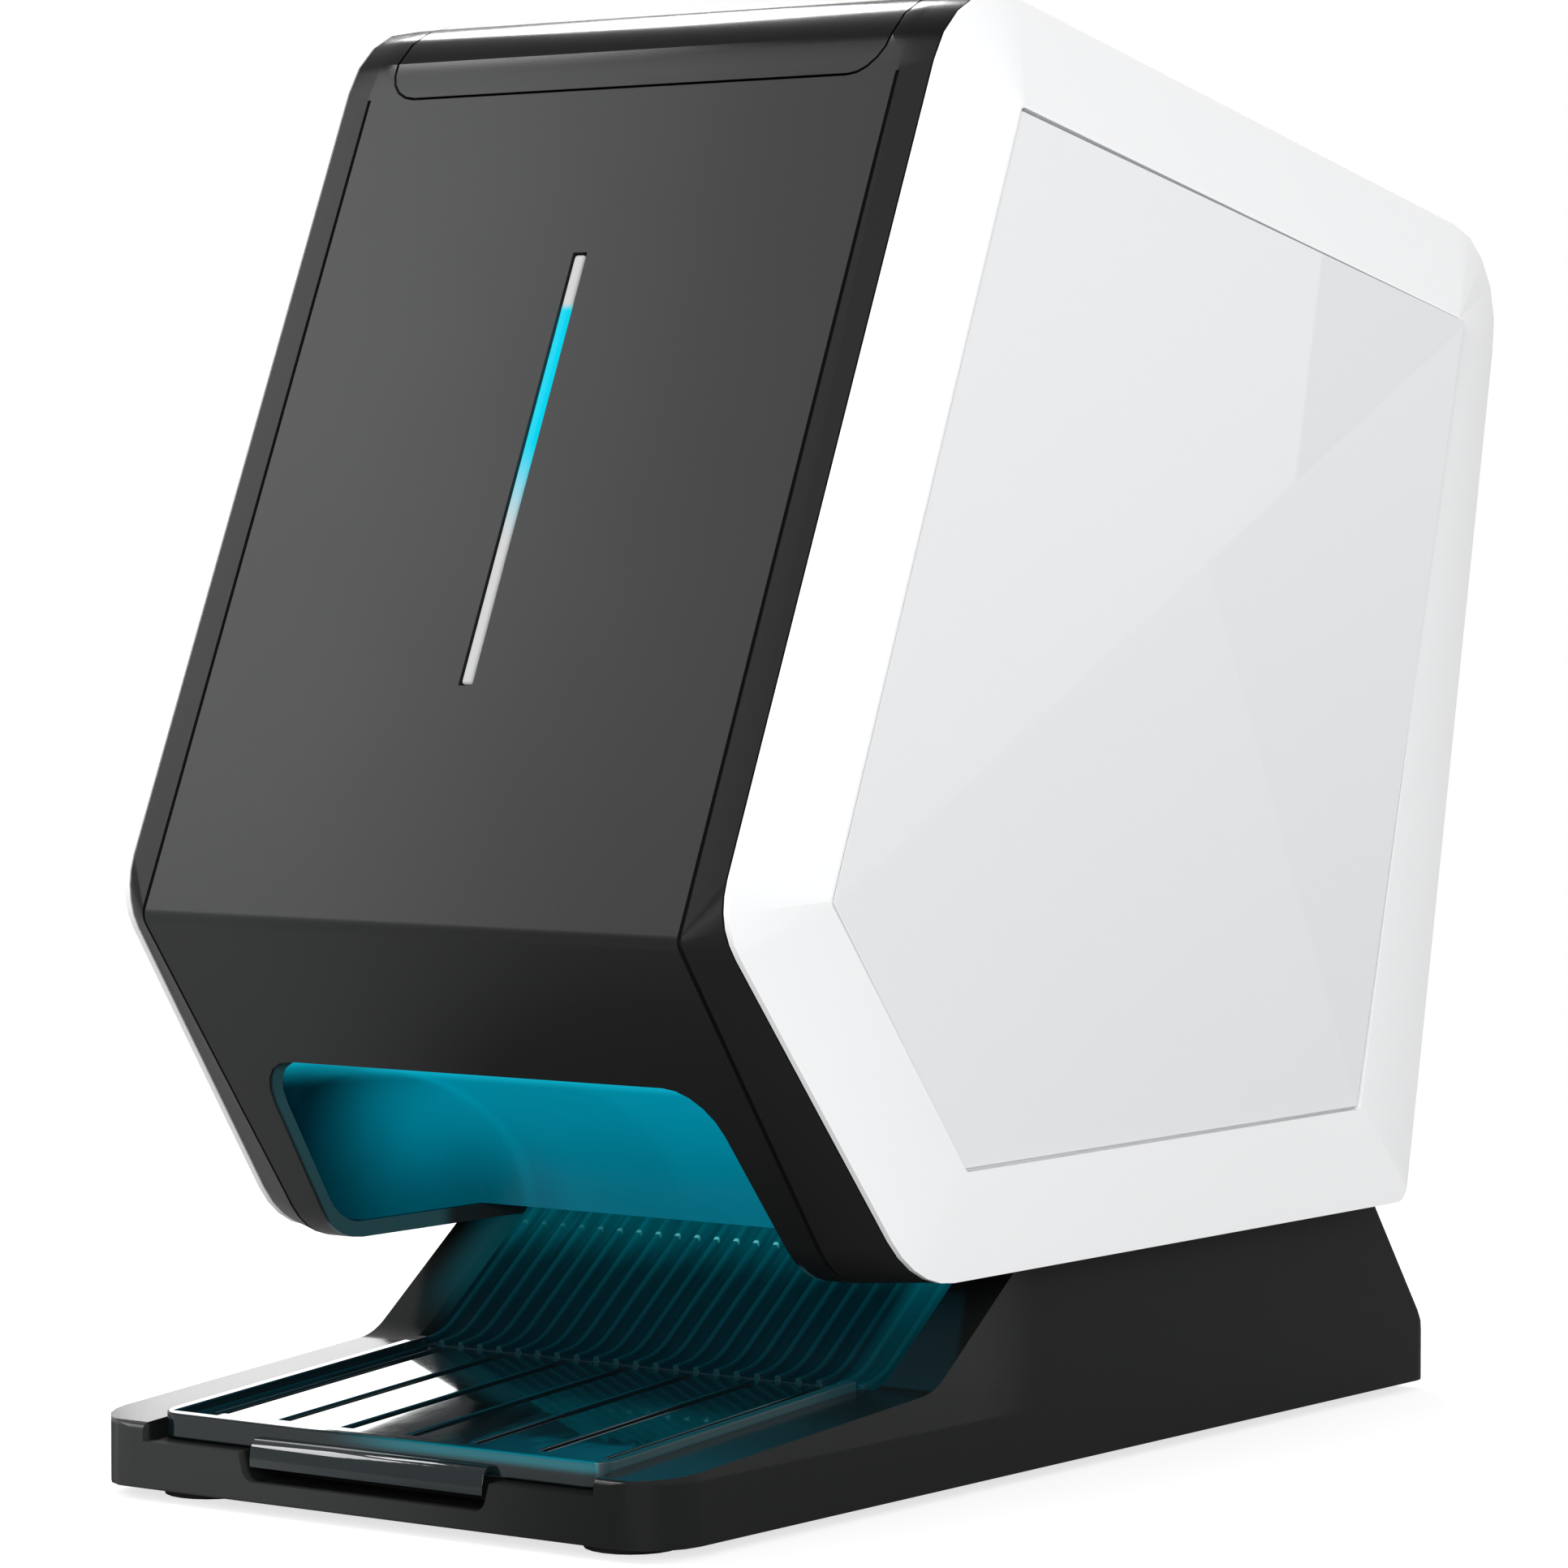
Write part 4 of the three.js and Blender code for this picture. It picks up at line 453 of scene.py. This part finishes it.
# Head covers and lid: charcoal mouldings with a silky spray finish. The front cover has
# the fascia between two reveal grooves, and the lid wraps over its top edge. The cut wall
# of the bay's opening takes a little of the teal light.
spray_tones = [(0.0225, 0.024, 0.0235), (0.026, 0.0275, 0.027)]
mouth_spill = (0.007, 0.035, 0.042)
cover_edge = 53.6 * mm
cover_half_width = 45 * mm
crown_height = (229 * mm, 231.5 * mm)
chin_shade = (60 * mm, 93 * mm)
chin_drop = -36.2 * mm
mouth_half_width = 48.4 * mm
mouth_top = 66 * mm
mouth_back = (-45 * mm, -40 * mm)

charcoal, wire, place = material_tree("charcoal_satin")
cloud = place.grain(40 * mm, 3)
etch = place.grain(0.35 * mm)
across = place.along("X")
height = place.along("Z")
# Painted shade: the colour darkens towards the right of the cover and under the chin. It goes near
# black on the outer edge bands, and on the crown of the lid's top edge, where a dark reflection is
# painted.
border = across.size().ease(cover_edge, cover_edge + 0.8 * mm)
crown = height.ease(*crown_height)
under = height.outside(*chin_shade)
rightward = across.ease(-cover_half_width, cover_half_width)
dark = border.larger(crown).larger(under * (0.25 + rightward * 0.7)) + rightward * 0.8
edge_and_shade_black = crown.between((0.007, 0.007, 0.007), (0.002, 0.002, 0.002))
depth = place.along("Y")
behind_chin = (depth * 0.81 + height * 0.59).ease(chin_drop, chin_drop + 0.6 * mm)
mouth_cut = behind_chin * height.outside(mouth_top, mouth_top + 2 * mm)
mouth_cut = mouth_cut * across.size().outside(mouth_half_width, mouth_half_width + 0.6 * mm)
mouth_cut = mouth_cut * depth.outside(*mouth_back)
matt = 0.4 + (cloud - 0.5) * 0.05 + (etch - 0.5) * 0.05
surface = {
    "Base Color": dark.between(cloud.between(*spray_tones), edge_and_shade_black),
    "Emission Color": mouth_cut.between(no_light, mouth_spill),
    "Emission Strength": 1.0,
    "Roughness": matt + border * 0.04 - crown * 0.24,
    "Normal": wire.node("ShaderNodeBump", None, {"Height": etch, "Distance": 0.006 * mm}),
    "Specular IOR Level": 0.2,
}
finish(wire.tree, wire.node("ShaderNodeBsdfPrincipled", None, surface))
rounded("front_cover", 0.3 * mm, charcoal, "scanner_body", "charcoal_body", 2, 20)
rounded("rear_cover", 0.3 * mm, charcoal, "scanner_body", "charcoal_body", 2, 20)
rounded("top_lid", 0.4 * mm, charcoal, "lid", "charcoal_body", 2, 20)

# Side shells and panels: satin white dishes round a pale grey panel of flat facets.
# Each panel is a moulding of its own, let into its shell, with sharp ridges.
shell_tones = greys(0.88, 0.01, (0.995, 1.0, 1.01))
facet_shades = [(0.72, 0.732, 0.745), (0.78, 0.792, 0.805)]
ridge_climb = 0.4936
ridge_height = 140.1 * mm
fold_climb = 0.541
fold_depth = 96.5 * mm
crease_climb = 0.224
crease_depth = 7.8 * mm
ridge_half_width = 0.6 * mm

shell_white = moulding("shell_white", shell_tones, 0.35, 0.5 * mm, 0.003 * mm, 0.35)
panel_grey, wire, place = material_tree("panel_grey")
etch = place.grain(0.5 * mm)
depth = place.along("Y")
height = place.along("Z")
over_ridge = height - depth * ridge_climb - ridge_height
behind_fold = depth + height * fold_climb - fold_depth
behind_crease = depth - height * crease_climb - crease_depth
upper, fold, crease = [
    line.ease(-ridge_half_width, ridge_half_width)
    for line in (over_ridge, behind_fold, behind_crease)
]
# Painted light and shade: each facet is painted a step lighter or darker as light falls on it. The
# upper front facet is lightest, the two lower facets are between, and the upper rear facet is
# darkest.
facet_shading = upper * (1 - crease) + (1 - upper) * (0.85 - fold * 0.25)
surface = {
    "Base Color": facet_shading.between(*facet_shades),
    "Roughness": 0.33 + etch * 0.04,
    "Normal": wire.node("ShaderNodeBump", None, {"Height": etch, "Distance": 0.003 * mm}),
    "Specular IOR Level": 0.35,
}
finish(wire.tree, wire.node("ShaderNodeBsdfPrincipled", None, surface))
for side in ("left", "right"):
    rounded(f"side_shell_{side}", 0.6 * mm, shell_white, "scanner_body", "white_shell", 3, 14)
    rounded(
        f"side_panel_{side}", 0.15 * mm, panel_grey, "scanner_body", "panel_grey",
        2, 30, crease=0.05, flat=0.02,
    )

# Light bar: a frosted silver strip that shows cyan while a plate is read. It sits in a
# slot of the fascia, with its lamp board behind it.
frosted_silver = (0.5, 0.505, 0.505)
cyan_glow = (0.0, 0.65, 0.84)
cyan_foot = (151 * mm, 168 * mm)
cyan_head = (188.5 * mm, 190 * mm)

bar_paint, wire, place = material_tree("light_bar_strip")
height = place.along("Z")
frost = place.grain(0.6 * mm, 2)
lit = height.ease(*cyan_foot) * height.outside(*cyan_head)
surface = {
    "Base Color": lit.between(frosted_silver, (0.0, 0.02, 0.03)),
    "Specular IOR Level": 0.05,
    "Emission Color": lit.between(no_light, cyan_glow),
    "Emission Strength": 1.0,
    "Roughness": 0.3 + frost * 0.12,
    "Normal": wire.node("ShaderNodeBump", None, {"Height": frost, "Distance": 0.01 * mm}),
}
finish(wire.tree, wire.node("ShaderNodeBsdfPrincipled", None, surface))
rounded("light_bar", 0.6 * mm, bar_paint, "scanner_body", "diffuser", 3)

# Pull lip: the tray's polished front edge dips into the notch of the base, where a
# fingertip pulls the tray out. One moulding with the tray, rolled over along its front.
lip_half_width = 23.4 * mm
lip_back = -118.3 * mm
lip_front = -119.9 * mm
lip_top = 11.9 * mm
lip_drop = 3.4 * mm
lip_sheet = 1.0 * mm
bpy.ops.object.select_all(action="DESELECT")
lip_middle = (0, lip_back - lip_sheet / 2, lip_top - lip_sheet / 2)
bpy.ops.mesh.primitive_cube_add(size=1, location=lip_middle)
pull_lip = bpy.context.object
pull_lip.name = "tray_pull_lip"
pull_lip.scale = (2 * lip_half_width, lip_sheet, lip_sheet)
bpy.ops.object.transform_apply(location=True, rotation=False, scale=True)
roll_steps = ((0.45, 0.12), (0.35, 0.28), (0.2, 0.6))
for step_forward, step_down in roll_steps:
    bpy.ops.object.mode_set(mode="EDIT")
    bpy.ops.mesh.select_all(action="DESELECT")
    bpy.ops.object.mode_set(mode="OBJECT")
    front_most = min(face.center.y for face in pull_lip.data.polygons)
    for face in pull_lip.data.polygons:
        face.select = face.center.y < front_most + 0.01 * mm
    bpy.ops.object.mode_set(mode="EDIT")
    shift = (0, (lip_front - lip_back) * step_forward, -lip_drop * step_down)
    bpy.ops.mesh.extrude_region_move(TRANSFORM_OT_translate={"value": shift})
    bpy.ops.object.mode_set(mode="OBJECT")
use_modifier(
    pull_lip, "BEVEL", width=0.35 * mm, segments=3,
    limit_method="ANGLE", angle_limit=math.radians(40),
)
pick(pull_lip)
bpy.ops.object.shade_smooth_by_angle(angle=math.radians(45))
settle(pull_lip, tray_paint, "tray", "gloss_black")

# Screws: steel pan heads with a cross recess. Four hold the bottom plate from below, and
# four hold the connector panel to the rear cover.
def metal(name, colour, rough):
    """Rolled or turned metal, with fine streaks in its gloss."""
    material, wire, place = material_tree(name)
    streak = place.stretched((1, 1, 12)).grain(4 * mm, 4)
    surface = {
        "Base Color": streak.between([part * 0.85 for part in colour], colour),
        "Metallic": 1.0,
        "Roughness": rough + (streak - 0.5) * 0.15,
    }
    finish(wire.tree, wire.node("ShaderNodeBsdfPrincipled", None, surface))
    return material


steel = metal("bright_steel", (0.55, 0.56, 0.57), 0.28)
screw_head_radius = 2.7 * mm
screw_head_height = 1.6 * mm
screw_shank_radius = 1.4 * mm
screw_shank_length = 5.4 * mm
recess_length = 3.0 * mm
recess_width = 0.62 * mm
recess_depth = 0.8 * mm
head_round = 0.5 * mm


def model_screw():
    """A pan head on a plain shank, pointing up, with its recess below at z = 0."""
    bpy.ops.object.select_all(action="DESELECT")
    bpy.ops.mesh.primitive_cylinder_add(
        vertices=32, radius=screw_head_radius, depth=screw_head_height,
        location=(0, 0, screw_head_height / 2),
    )
    head = bpy.context.object
    bpy.ops.object.transform_apply(location=True)
    bpy.ops.object.mode_set(mode="EDIT")
    bpy.ops.mesh.select_all(action="DESELECT")
    bpy.ops.object.mode_set(mode="OBJECT")
    for face in head.data.polygons:
        face.select = face.normal.z > 0.9
    bpy.ops.object.mode_set(mode="EDIT")
    bpy.ops.mesh.inset(thickness=screw_head_radius - screw_shank_radius)
    bpy.ops.mesh.extrude_region_move(TRANSFORM_OT_translate={"value": (0, 0, screw_shank_length)})
    bpy.ops.object.mode_set(mode="OBJECT")
    use_modifier(
        head, "BEVEL", width=head_round, segments=3,
        limit_method="ANGLE", angle_limit=math.radians(60),
    )
    for turn in (0, 90):
        bpy.ops.object.select_all(action="DESELECT")
        bpy.ops.mesh.primitive_cube_add(size=1)
        slot = bpy.context.object
        slot.scale = (recess_length, recess_width, 2 * recess_depth)
        slot.rotation_euler = (0, 0, math.radians(turn))
        bpy.ops.object.transform_apply(location=False, rotation=True, scale=True)
        use_modifier(head, "BOOLEAN", operation="DIFFERENCE", object=slot, solver="EXACT")
        bpy.data.objects.remove(slot)
    pick(head)
    bpy.ops.object.shade_smooth_by_angle(angle=math.radians(30))
    return head


def copy_of(pattern, name, place, tilt):
    """A separate copy of a finished small piece, with a mesh of its own."""
    piece = bpy.data.objects.new(name, pattern.data.copy())
    bpy.context.scene.collection.objects.link(piece)
    piece.location = place
    piece.rotation_euler = tilt
    return piece


screw = model_screw()
plate_screw_half_span = 48.2 * mm
plate_screw_backs = (-63.5 * mm, 74.5 * mm)
plate_screw_height = 1.45 * mm
for across_sign, side in ((-1, "left"), (1, "right")):
    for back, end in zip(plate_screw_backs, ("front", "rear")):
        spot = (across_sign * plate_screw_half_span, back, plate_screw_height)
        turned = across_sign * 0.5 + back * 9
        held = copy_of(screw, f"plate_screw_{end}_{side}", spot, (0, 0, turned))
        settle(held, steel, "scanner_body", "steel")

rear_wall_run = 41.7
rear_wall_rise = 167.7
rear_lean = math.atan2(rear_wall_run, rear_wall_rise)
rear_foot = Vector((0, 83.805 * mm, 36.3 * mm))


def on_rear_wall(across, out, up):
    """A place in the frame of the leaning rear wall: along it, out of it and up it."""
    along = Vector((0, math.sin(rear_lean), math.cos(rear_lean))) * up
    outwards = Vector((0, math.cos(rear_lean), -math.sin(rear_lean))) * out
    return rear_foot + Vector((across, 0, 0)) + along + outwards


panel_screw_half_span = 34.6 * mm
panel_screw_ups = (19.4 * mm, 46.6 * mm)
panel_skin = -0.6 * mm
face_back = math.radians(90) - rear_lean
for across_sign, side in ((-1, "left"), (1, "right")):
    for up, end in zip(panel_screw_ups, ("lower", "upper")):
        spot = on_rear_wall(across_sign * panel_screw_half_span, panel_skin + screw_head_height, up)
        held = copy_of(screw, f"panel_screw_{end}_{side}", spot, (face_back, 0, 0))
        settle(held, steel, "scanner_body", "steel")
bpy.data.objects.remove(screw)

# Socket contacts: thin gilt springs in the network and USB sockets, bent from strip and
# moulded into the tongue. Two small green windows in the network socket show the link.
gilt = metal("gilt_contacts", (0.75, 0.52, 0.16), 0.22)
contact_sheet = 0.18 * mm
network_contacts = {
    "count": 8, "across": 2 * mm, "pitch": 0.72 * mm,
    "width": 0.36 * mm, "up": 35.91 * mm, "deep": 9 * mm,
}
usb_contacts = {
    "count": 4, "across": -16 * mm, "pitch": 1.12 * mm,
    "width": 0.7 * mm, "up": 31.15 * mm, "deep": 8 * mm,
}
contact_mouth = -3.4 * mm


def contact_row(name, row):
    """A row of strips under a tongue, each bent down a little at its mouth."""
    bpy.ops.object.select_all(action="DESELECT")
    bpy.ops.mesh.primitive_cube_add(size=1)
    strips = bpy.context.object
    strips.name = name
    bpy.ops.object.mode_set(mode="EDIT")
    bpy.ops.mesh.select_all(action="SELECT")
    bpy.ops.transform.resize(value=(row["width"], row["deep"], contact_sheet))
    bpy.ops.mesh.subdivide(number_cuts=3)
    bpy.ops.mesh.select_all(action="DESELECT")
    bpy.ops.object.mode_set(mode="OBJECT")
    for corner in strips.data.vertices:
        corner.select = abs(corner.co.y) < 0.3 * row["deep"]
    bpy.ops.object.mode_set(mode="EDIT")
    bpy.ops.transform.translate(value=(0, 0, -2.5 * contact_sheet))
    bpy.ops.object.mode_set(mode="OBJECT")
    use_modifier(
        strips, "ARRAY", count=row["count"], use_relative_offset=False,
        use_constant_offset=True, constant_offset_displace=(row["pitch"], 0, 0),
    )
    start = row["across"] - (row["count"] - 1) * row["pitch"] / 2
    middle = contact_mouth - row["deep"] / 2
    strips.location = on_rear_wall(start, middle, row["up"] - contact_sheet / 2)
    strips.rotation_euler = (-rear_lean, 0, 0)
    settle(strips, gilt, "scanner_body", "brass")


contact_row("network_contacts", network_contacts)
contact_row("usb_contacts", usb_contacts)

link_window, wire, place = material_tree("link_window")
frost = place.grain(0.4 * mm, 2)
surface = {
    "Base Color": frost.between((0.05, 0.3, 0.1), (0.08, 0.4, 0.14)),
    "Emission Color": frost.between((0.01, 0.1, 0.02), (0.02, 0.14, 0.03)),
    "Emission Strength": 1.0,
    "Roughness": 0.3 + frost * 0.1,
}
finish(wire.tree, wire.node("ShaderNodeBsdfPrincipled", None, surface))
window_size = (2.4 * mm, 0.5 * mm, 1.1 * mm)
window_spots = ((-2.6 * mm, "left"), (6.6 * mm, "right"))
window_up = 27.2 * mm
window_sink = -0.45 * mm
for across, name in window_spots:
    bpy.ops.object.select_all(action="DESELECT")
    bpy.ops.mesh.primitive_cube_add(
        size=1, location=on_rear_wall(across, window_sink, window_up), rotation=(-rear_lean, 0, 0)
    )
    window = bpy.context.object
    window.name = f"network_window_{name}"
    window.scale = window_size
    bpy.ops.object.transform_apply(location=False, rotation=False, scale=True)
    use_modifier(window, "BEVEL", width=0.12 * mm, segments=2)
    settle(window, link_window, "scanner_body", "diffuser")

# Power button: a black moulded cap on a short stem, pressed from behind the scanner.
# It follows the CAD solid's outline, with a dished face and a soft outer edge.
button_black = moulding("button_black", greys(0.016), 0.3, 0.4 * mm, 0.006 * mm, 0.4)
button_radius = 5 * mm
button_across = -30 * mm
button_up = 33 * mm
button_root = -2.9 * mm
button_face = 1.5 * mm
stem_root = -5.2 * mm
bpy.ops.object.select_all(action="DESELECT")
cap_height = button_face - button_root
bpy.ops.mesh.primitive_cylinder_add(vertices=48, radius=button_radius, depth=cap_height)
button = bpy.context.object
button.name = "power_button_cap"
dish_rings = ((0.8, 0.0), (0.9, -0.35), (1.4, -0.3))
stem_ring = ((2.5, 0.0),)
for rings, faces_out in ((dish_rings, True), (stem_ring, False)):
    bpy.ops.object.mode_set(mode="EDIT")
    bpy.ops.mesh.select_all(action="DESELECT")
    bpy.ops.object.mode_set(mode="OBJECT")
    for face in button.data.polygons:
        face.select = (face.normal.z > 0.9) if faces_out else (face.normal.z < -0.9)
    bpy.ops.object.mode_set(mode="EDIT")
    for inset, sink in rings:
        bpy.ops.mesh.inset(thickness=inset * mm)
        bpy.ops.transform.translate(value=(0, 0, sink * mm))
    if not faces_out:
        stem = (0, 0, stem_root - button_root)
        bpy.ops.mesh.extrude_region_move(TRANSFORM_OT_translate={"value": stem})
    bpy.ops.object.mode_set(mode="OBJECT")
use_modifier(
    button, "BEVEL", width=0.4 * mm, segments=3,
    limit_method="ANGLE", angle_limit=math.radians(50),
)
pick(button)
bpy.ops.object.shade_smooth_by_angle(angle=math.radians(40))
button.location = on_rear_wall(button_across, (button_face + button_root) / 2, button_up)
button.rotation_euler = (-math.pi / 2 - rear_lean, 0, 0)
settle(button, button_black, "button", "inner_plastic", "power_button")

# Boards: green laminate with fine copper tracks under the lacquer. The parts that stand
# off the sheet are coloured by their height: black chips, or yellow-white lamps.
lacquer_greens = [(0.004, 0.06, 0.025), (0.02, 0.16, 0.07)]
track_run = 9 * mm


def board_paint(name, proud, part_tones):
    """Green laminate, with another colour where a function says that parts stand proud."""
    material, wire, place = material_tree(name)
    tracks = wire.node("ShaderNodeTexBrick", None, {
        "Vector": place, "Scale": 1 / track_run, "Mortar Size": 0.02,
        "Color1": (0, 0, 0, 1), "Color2": (0.2, 0.2, 0.2, 1), "Mortar": (1, 1, 1, 1),
    })
    speck = place.grain(1.2 * mm, 3)
    green = (tracks.along(0) * 0.6 + speck * 0.3).between(*lacquer_greens)
    part = speck.between(*part_tones)
    surface = {
        "Base Color": proud(place).between(green, part),
        "Roughness": 0.35 + speck * 0.15,
        "Specular IOR Level": 0.4,
    }
    finish(wire.tree, wire.node("ShaderNodeBsdfPrincipled", None, surface))
    return material


lamp_yellow = [(0.75, 0.68, 0.3), (0.85, 0.8, 0.45)]
chip_black = [(0.012, 0.012, 0.013), (0.03, 0.03, 0.032)]
board_face = -10.5 * mm
erase_face = -26.2 * mm
glow_face = 71.3 * mm
switch_edge = -24.8 * mm


def off_rear_wall(place):
    """Distance out of the rear wall's plane."""
    back = (place.along("Y") - rear_foot.y) * math.cos(rear_lean)
    return back - (place.along("Z") - rear_foot.z) * math.sin(rear_lean)


populated = board_paint(
    "main_board_paint",
    lambda place: off_rear_wall(place).outside(board_face - 0.1 * mm, board_face), chip_black,
)
coat_solid(populated, "main_board")
switch_board = board_paint(
    "connector_board_paint",
    lambda place: place.along("X").outside(switch_edge, switch_edge + 0.2 * mm), chip_black,
)
coat_solid(switch_board, "connector_board")
erase_paint = board_paint(
    "erase_board_paint",
    lambda place: place.along("Y").ease(erase_face - 0.1 * mm, erase_face + 0.05 * mm), lamp_yellow,
)
coat_solid(erase_paint, "erase_lamp_board")
glow_paint = board_paint(
    "glow_board_paint",
    lambda place: place.along("Z").outside(glow_face - 0.1 * mm, glow_face), lamp_yellow,
)
coat_solid(glow_paint, "exit_glow_board", "light_bar_board")

# Drive train: rubber-covered rollers on steel shafts, nylon pulleys and a black belt.
# The rubber has fine turned grooves round it, which grip the dental plate.
roller_rubber, wire, place = material_tree("grooved_rubber")
groove = place.along("X").wrapped(1.2 * mm).ease(0.1 * mm, 0.25 * mm)
dust = place.grain(1.5 * mm, 3)
surface = {
    "Base Color": dust.between((0.018, 0.018, 0.019), (0.032, 0.032, 0.034)),
    "Roughness": 0.7 + (dust - 0.5) * 0.2,
    "Normal": wire.node("ShaderNodeBump", None, {"Height": groove, "Distance": 0.12 * mm}),
    "Specular IOR Level": 0.3,
}
finish(wire.tree, wire.node("ShaderNodeBsdfPrincipled", None, surface))
coat_solid(
    roller_rubber, "infeed_drive_roller", "upper_drive_roller", "lower_drive_roller",
    "infeed_pinch_roller", "upper_pinch_roller", "lower_pinch_roller",
)
belt_rubber = moulding("belt_rubber", greys(0.016), 0.6, 0.7 * mm, 0.05 * mm, 0.3)
coat_solid(belt_rubber, "drive_belt")
inner_black = moulding("inner_black", greys(0.026), 0.45, 0.6 * mm, 0.01 * mm, 0.35)
coat_solid(
    inner_black, "plate_guide_front", "plate_guide_back", "polygon_motor",
    "photomultiplier", "infeed_pulley", "upper_pulley", "lower_pulley",
)

# Slot guide: the black funnel under the lid, whose rounded mouth takes the dental plate.
# It is one moulding, seated in the front cover.
rounded("slot_guide", 0.4 * mm, inner_black, "scanner_body", "inner_plastic")

# Rear panel: a matt black plate behind the cover's opening, round the three sockets.
# The power inlet is moulded in the same black.
panel_black = moulding("panel_black", greys(0.018), 0.5, 0.7 * mm, 0.02 * mm, 0.3)
rounded("connector_panel", 0.3 * mm, panel_black, "scanner_body", "inner_plastic")
rounded("power_inlet", 0.25 * mm, panel_black, "scanner_body", "inner_plastic")
rounded("network_socket", 0.2 * mm, steel, "scanner_body", "steel")
rounded("usb_socket", 0.2 * mm, steel, "scanner_body", "steel")

# Chassis and optics: folded aluminium plates and turned steel bars, with the polished
# spinning mirror, the brass laser and the clear lens and light guide between them.
aluminium = metal("sheet_aluminium", (0.66, 0.67, 0.68), 0.36)
coat_solid(
    steel, "lid_hinge_pin", "pinch_spring_left", "pinch_spring_right", "drive_motor",
    "chassis_bar_top", "chassis_bar_rear",
)
coat_solid(
    aluminium, "motor_pulley", "chassis_plate_left", "chassis_plate_right", "chassis_floor",
    "optics_base", "detector_bracket",
)
coat_solid(metal("polished_facets", (0.9, 0.92, 0.93), 0.05), "polygon_mirror")
coat_solid(metal("turned_brass", (0.55, 0.42, 0.17), 0.3), "laser_module")
clear_acrylic, wire, place = material_tree("clear_acrylic")
haze = place.grain(8 * mm, 2)
surface = {
    "Base Color": haze.between((0.75, 0.88, 0.9), (0.8, 0.92, 0.94)),
    "Roughness": 0.04 + haze * 0.03,
    "Transmission Weight": 0.9,
    "IOR": 1.49,
}
finish(wire.tree, wire.node("ShaderNodeBsdfPrincipled", None, surface))
coat_solid(clear_acrylic, "scan_lens", "light_guide")
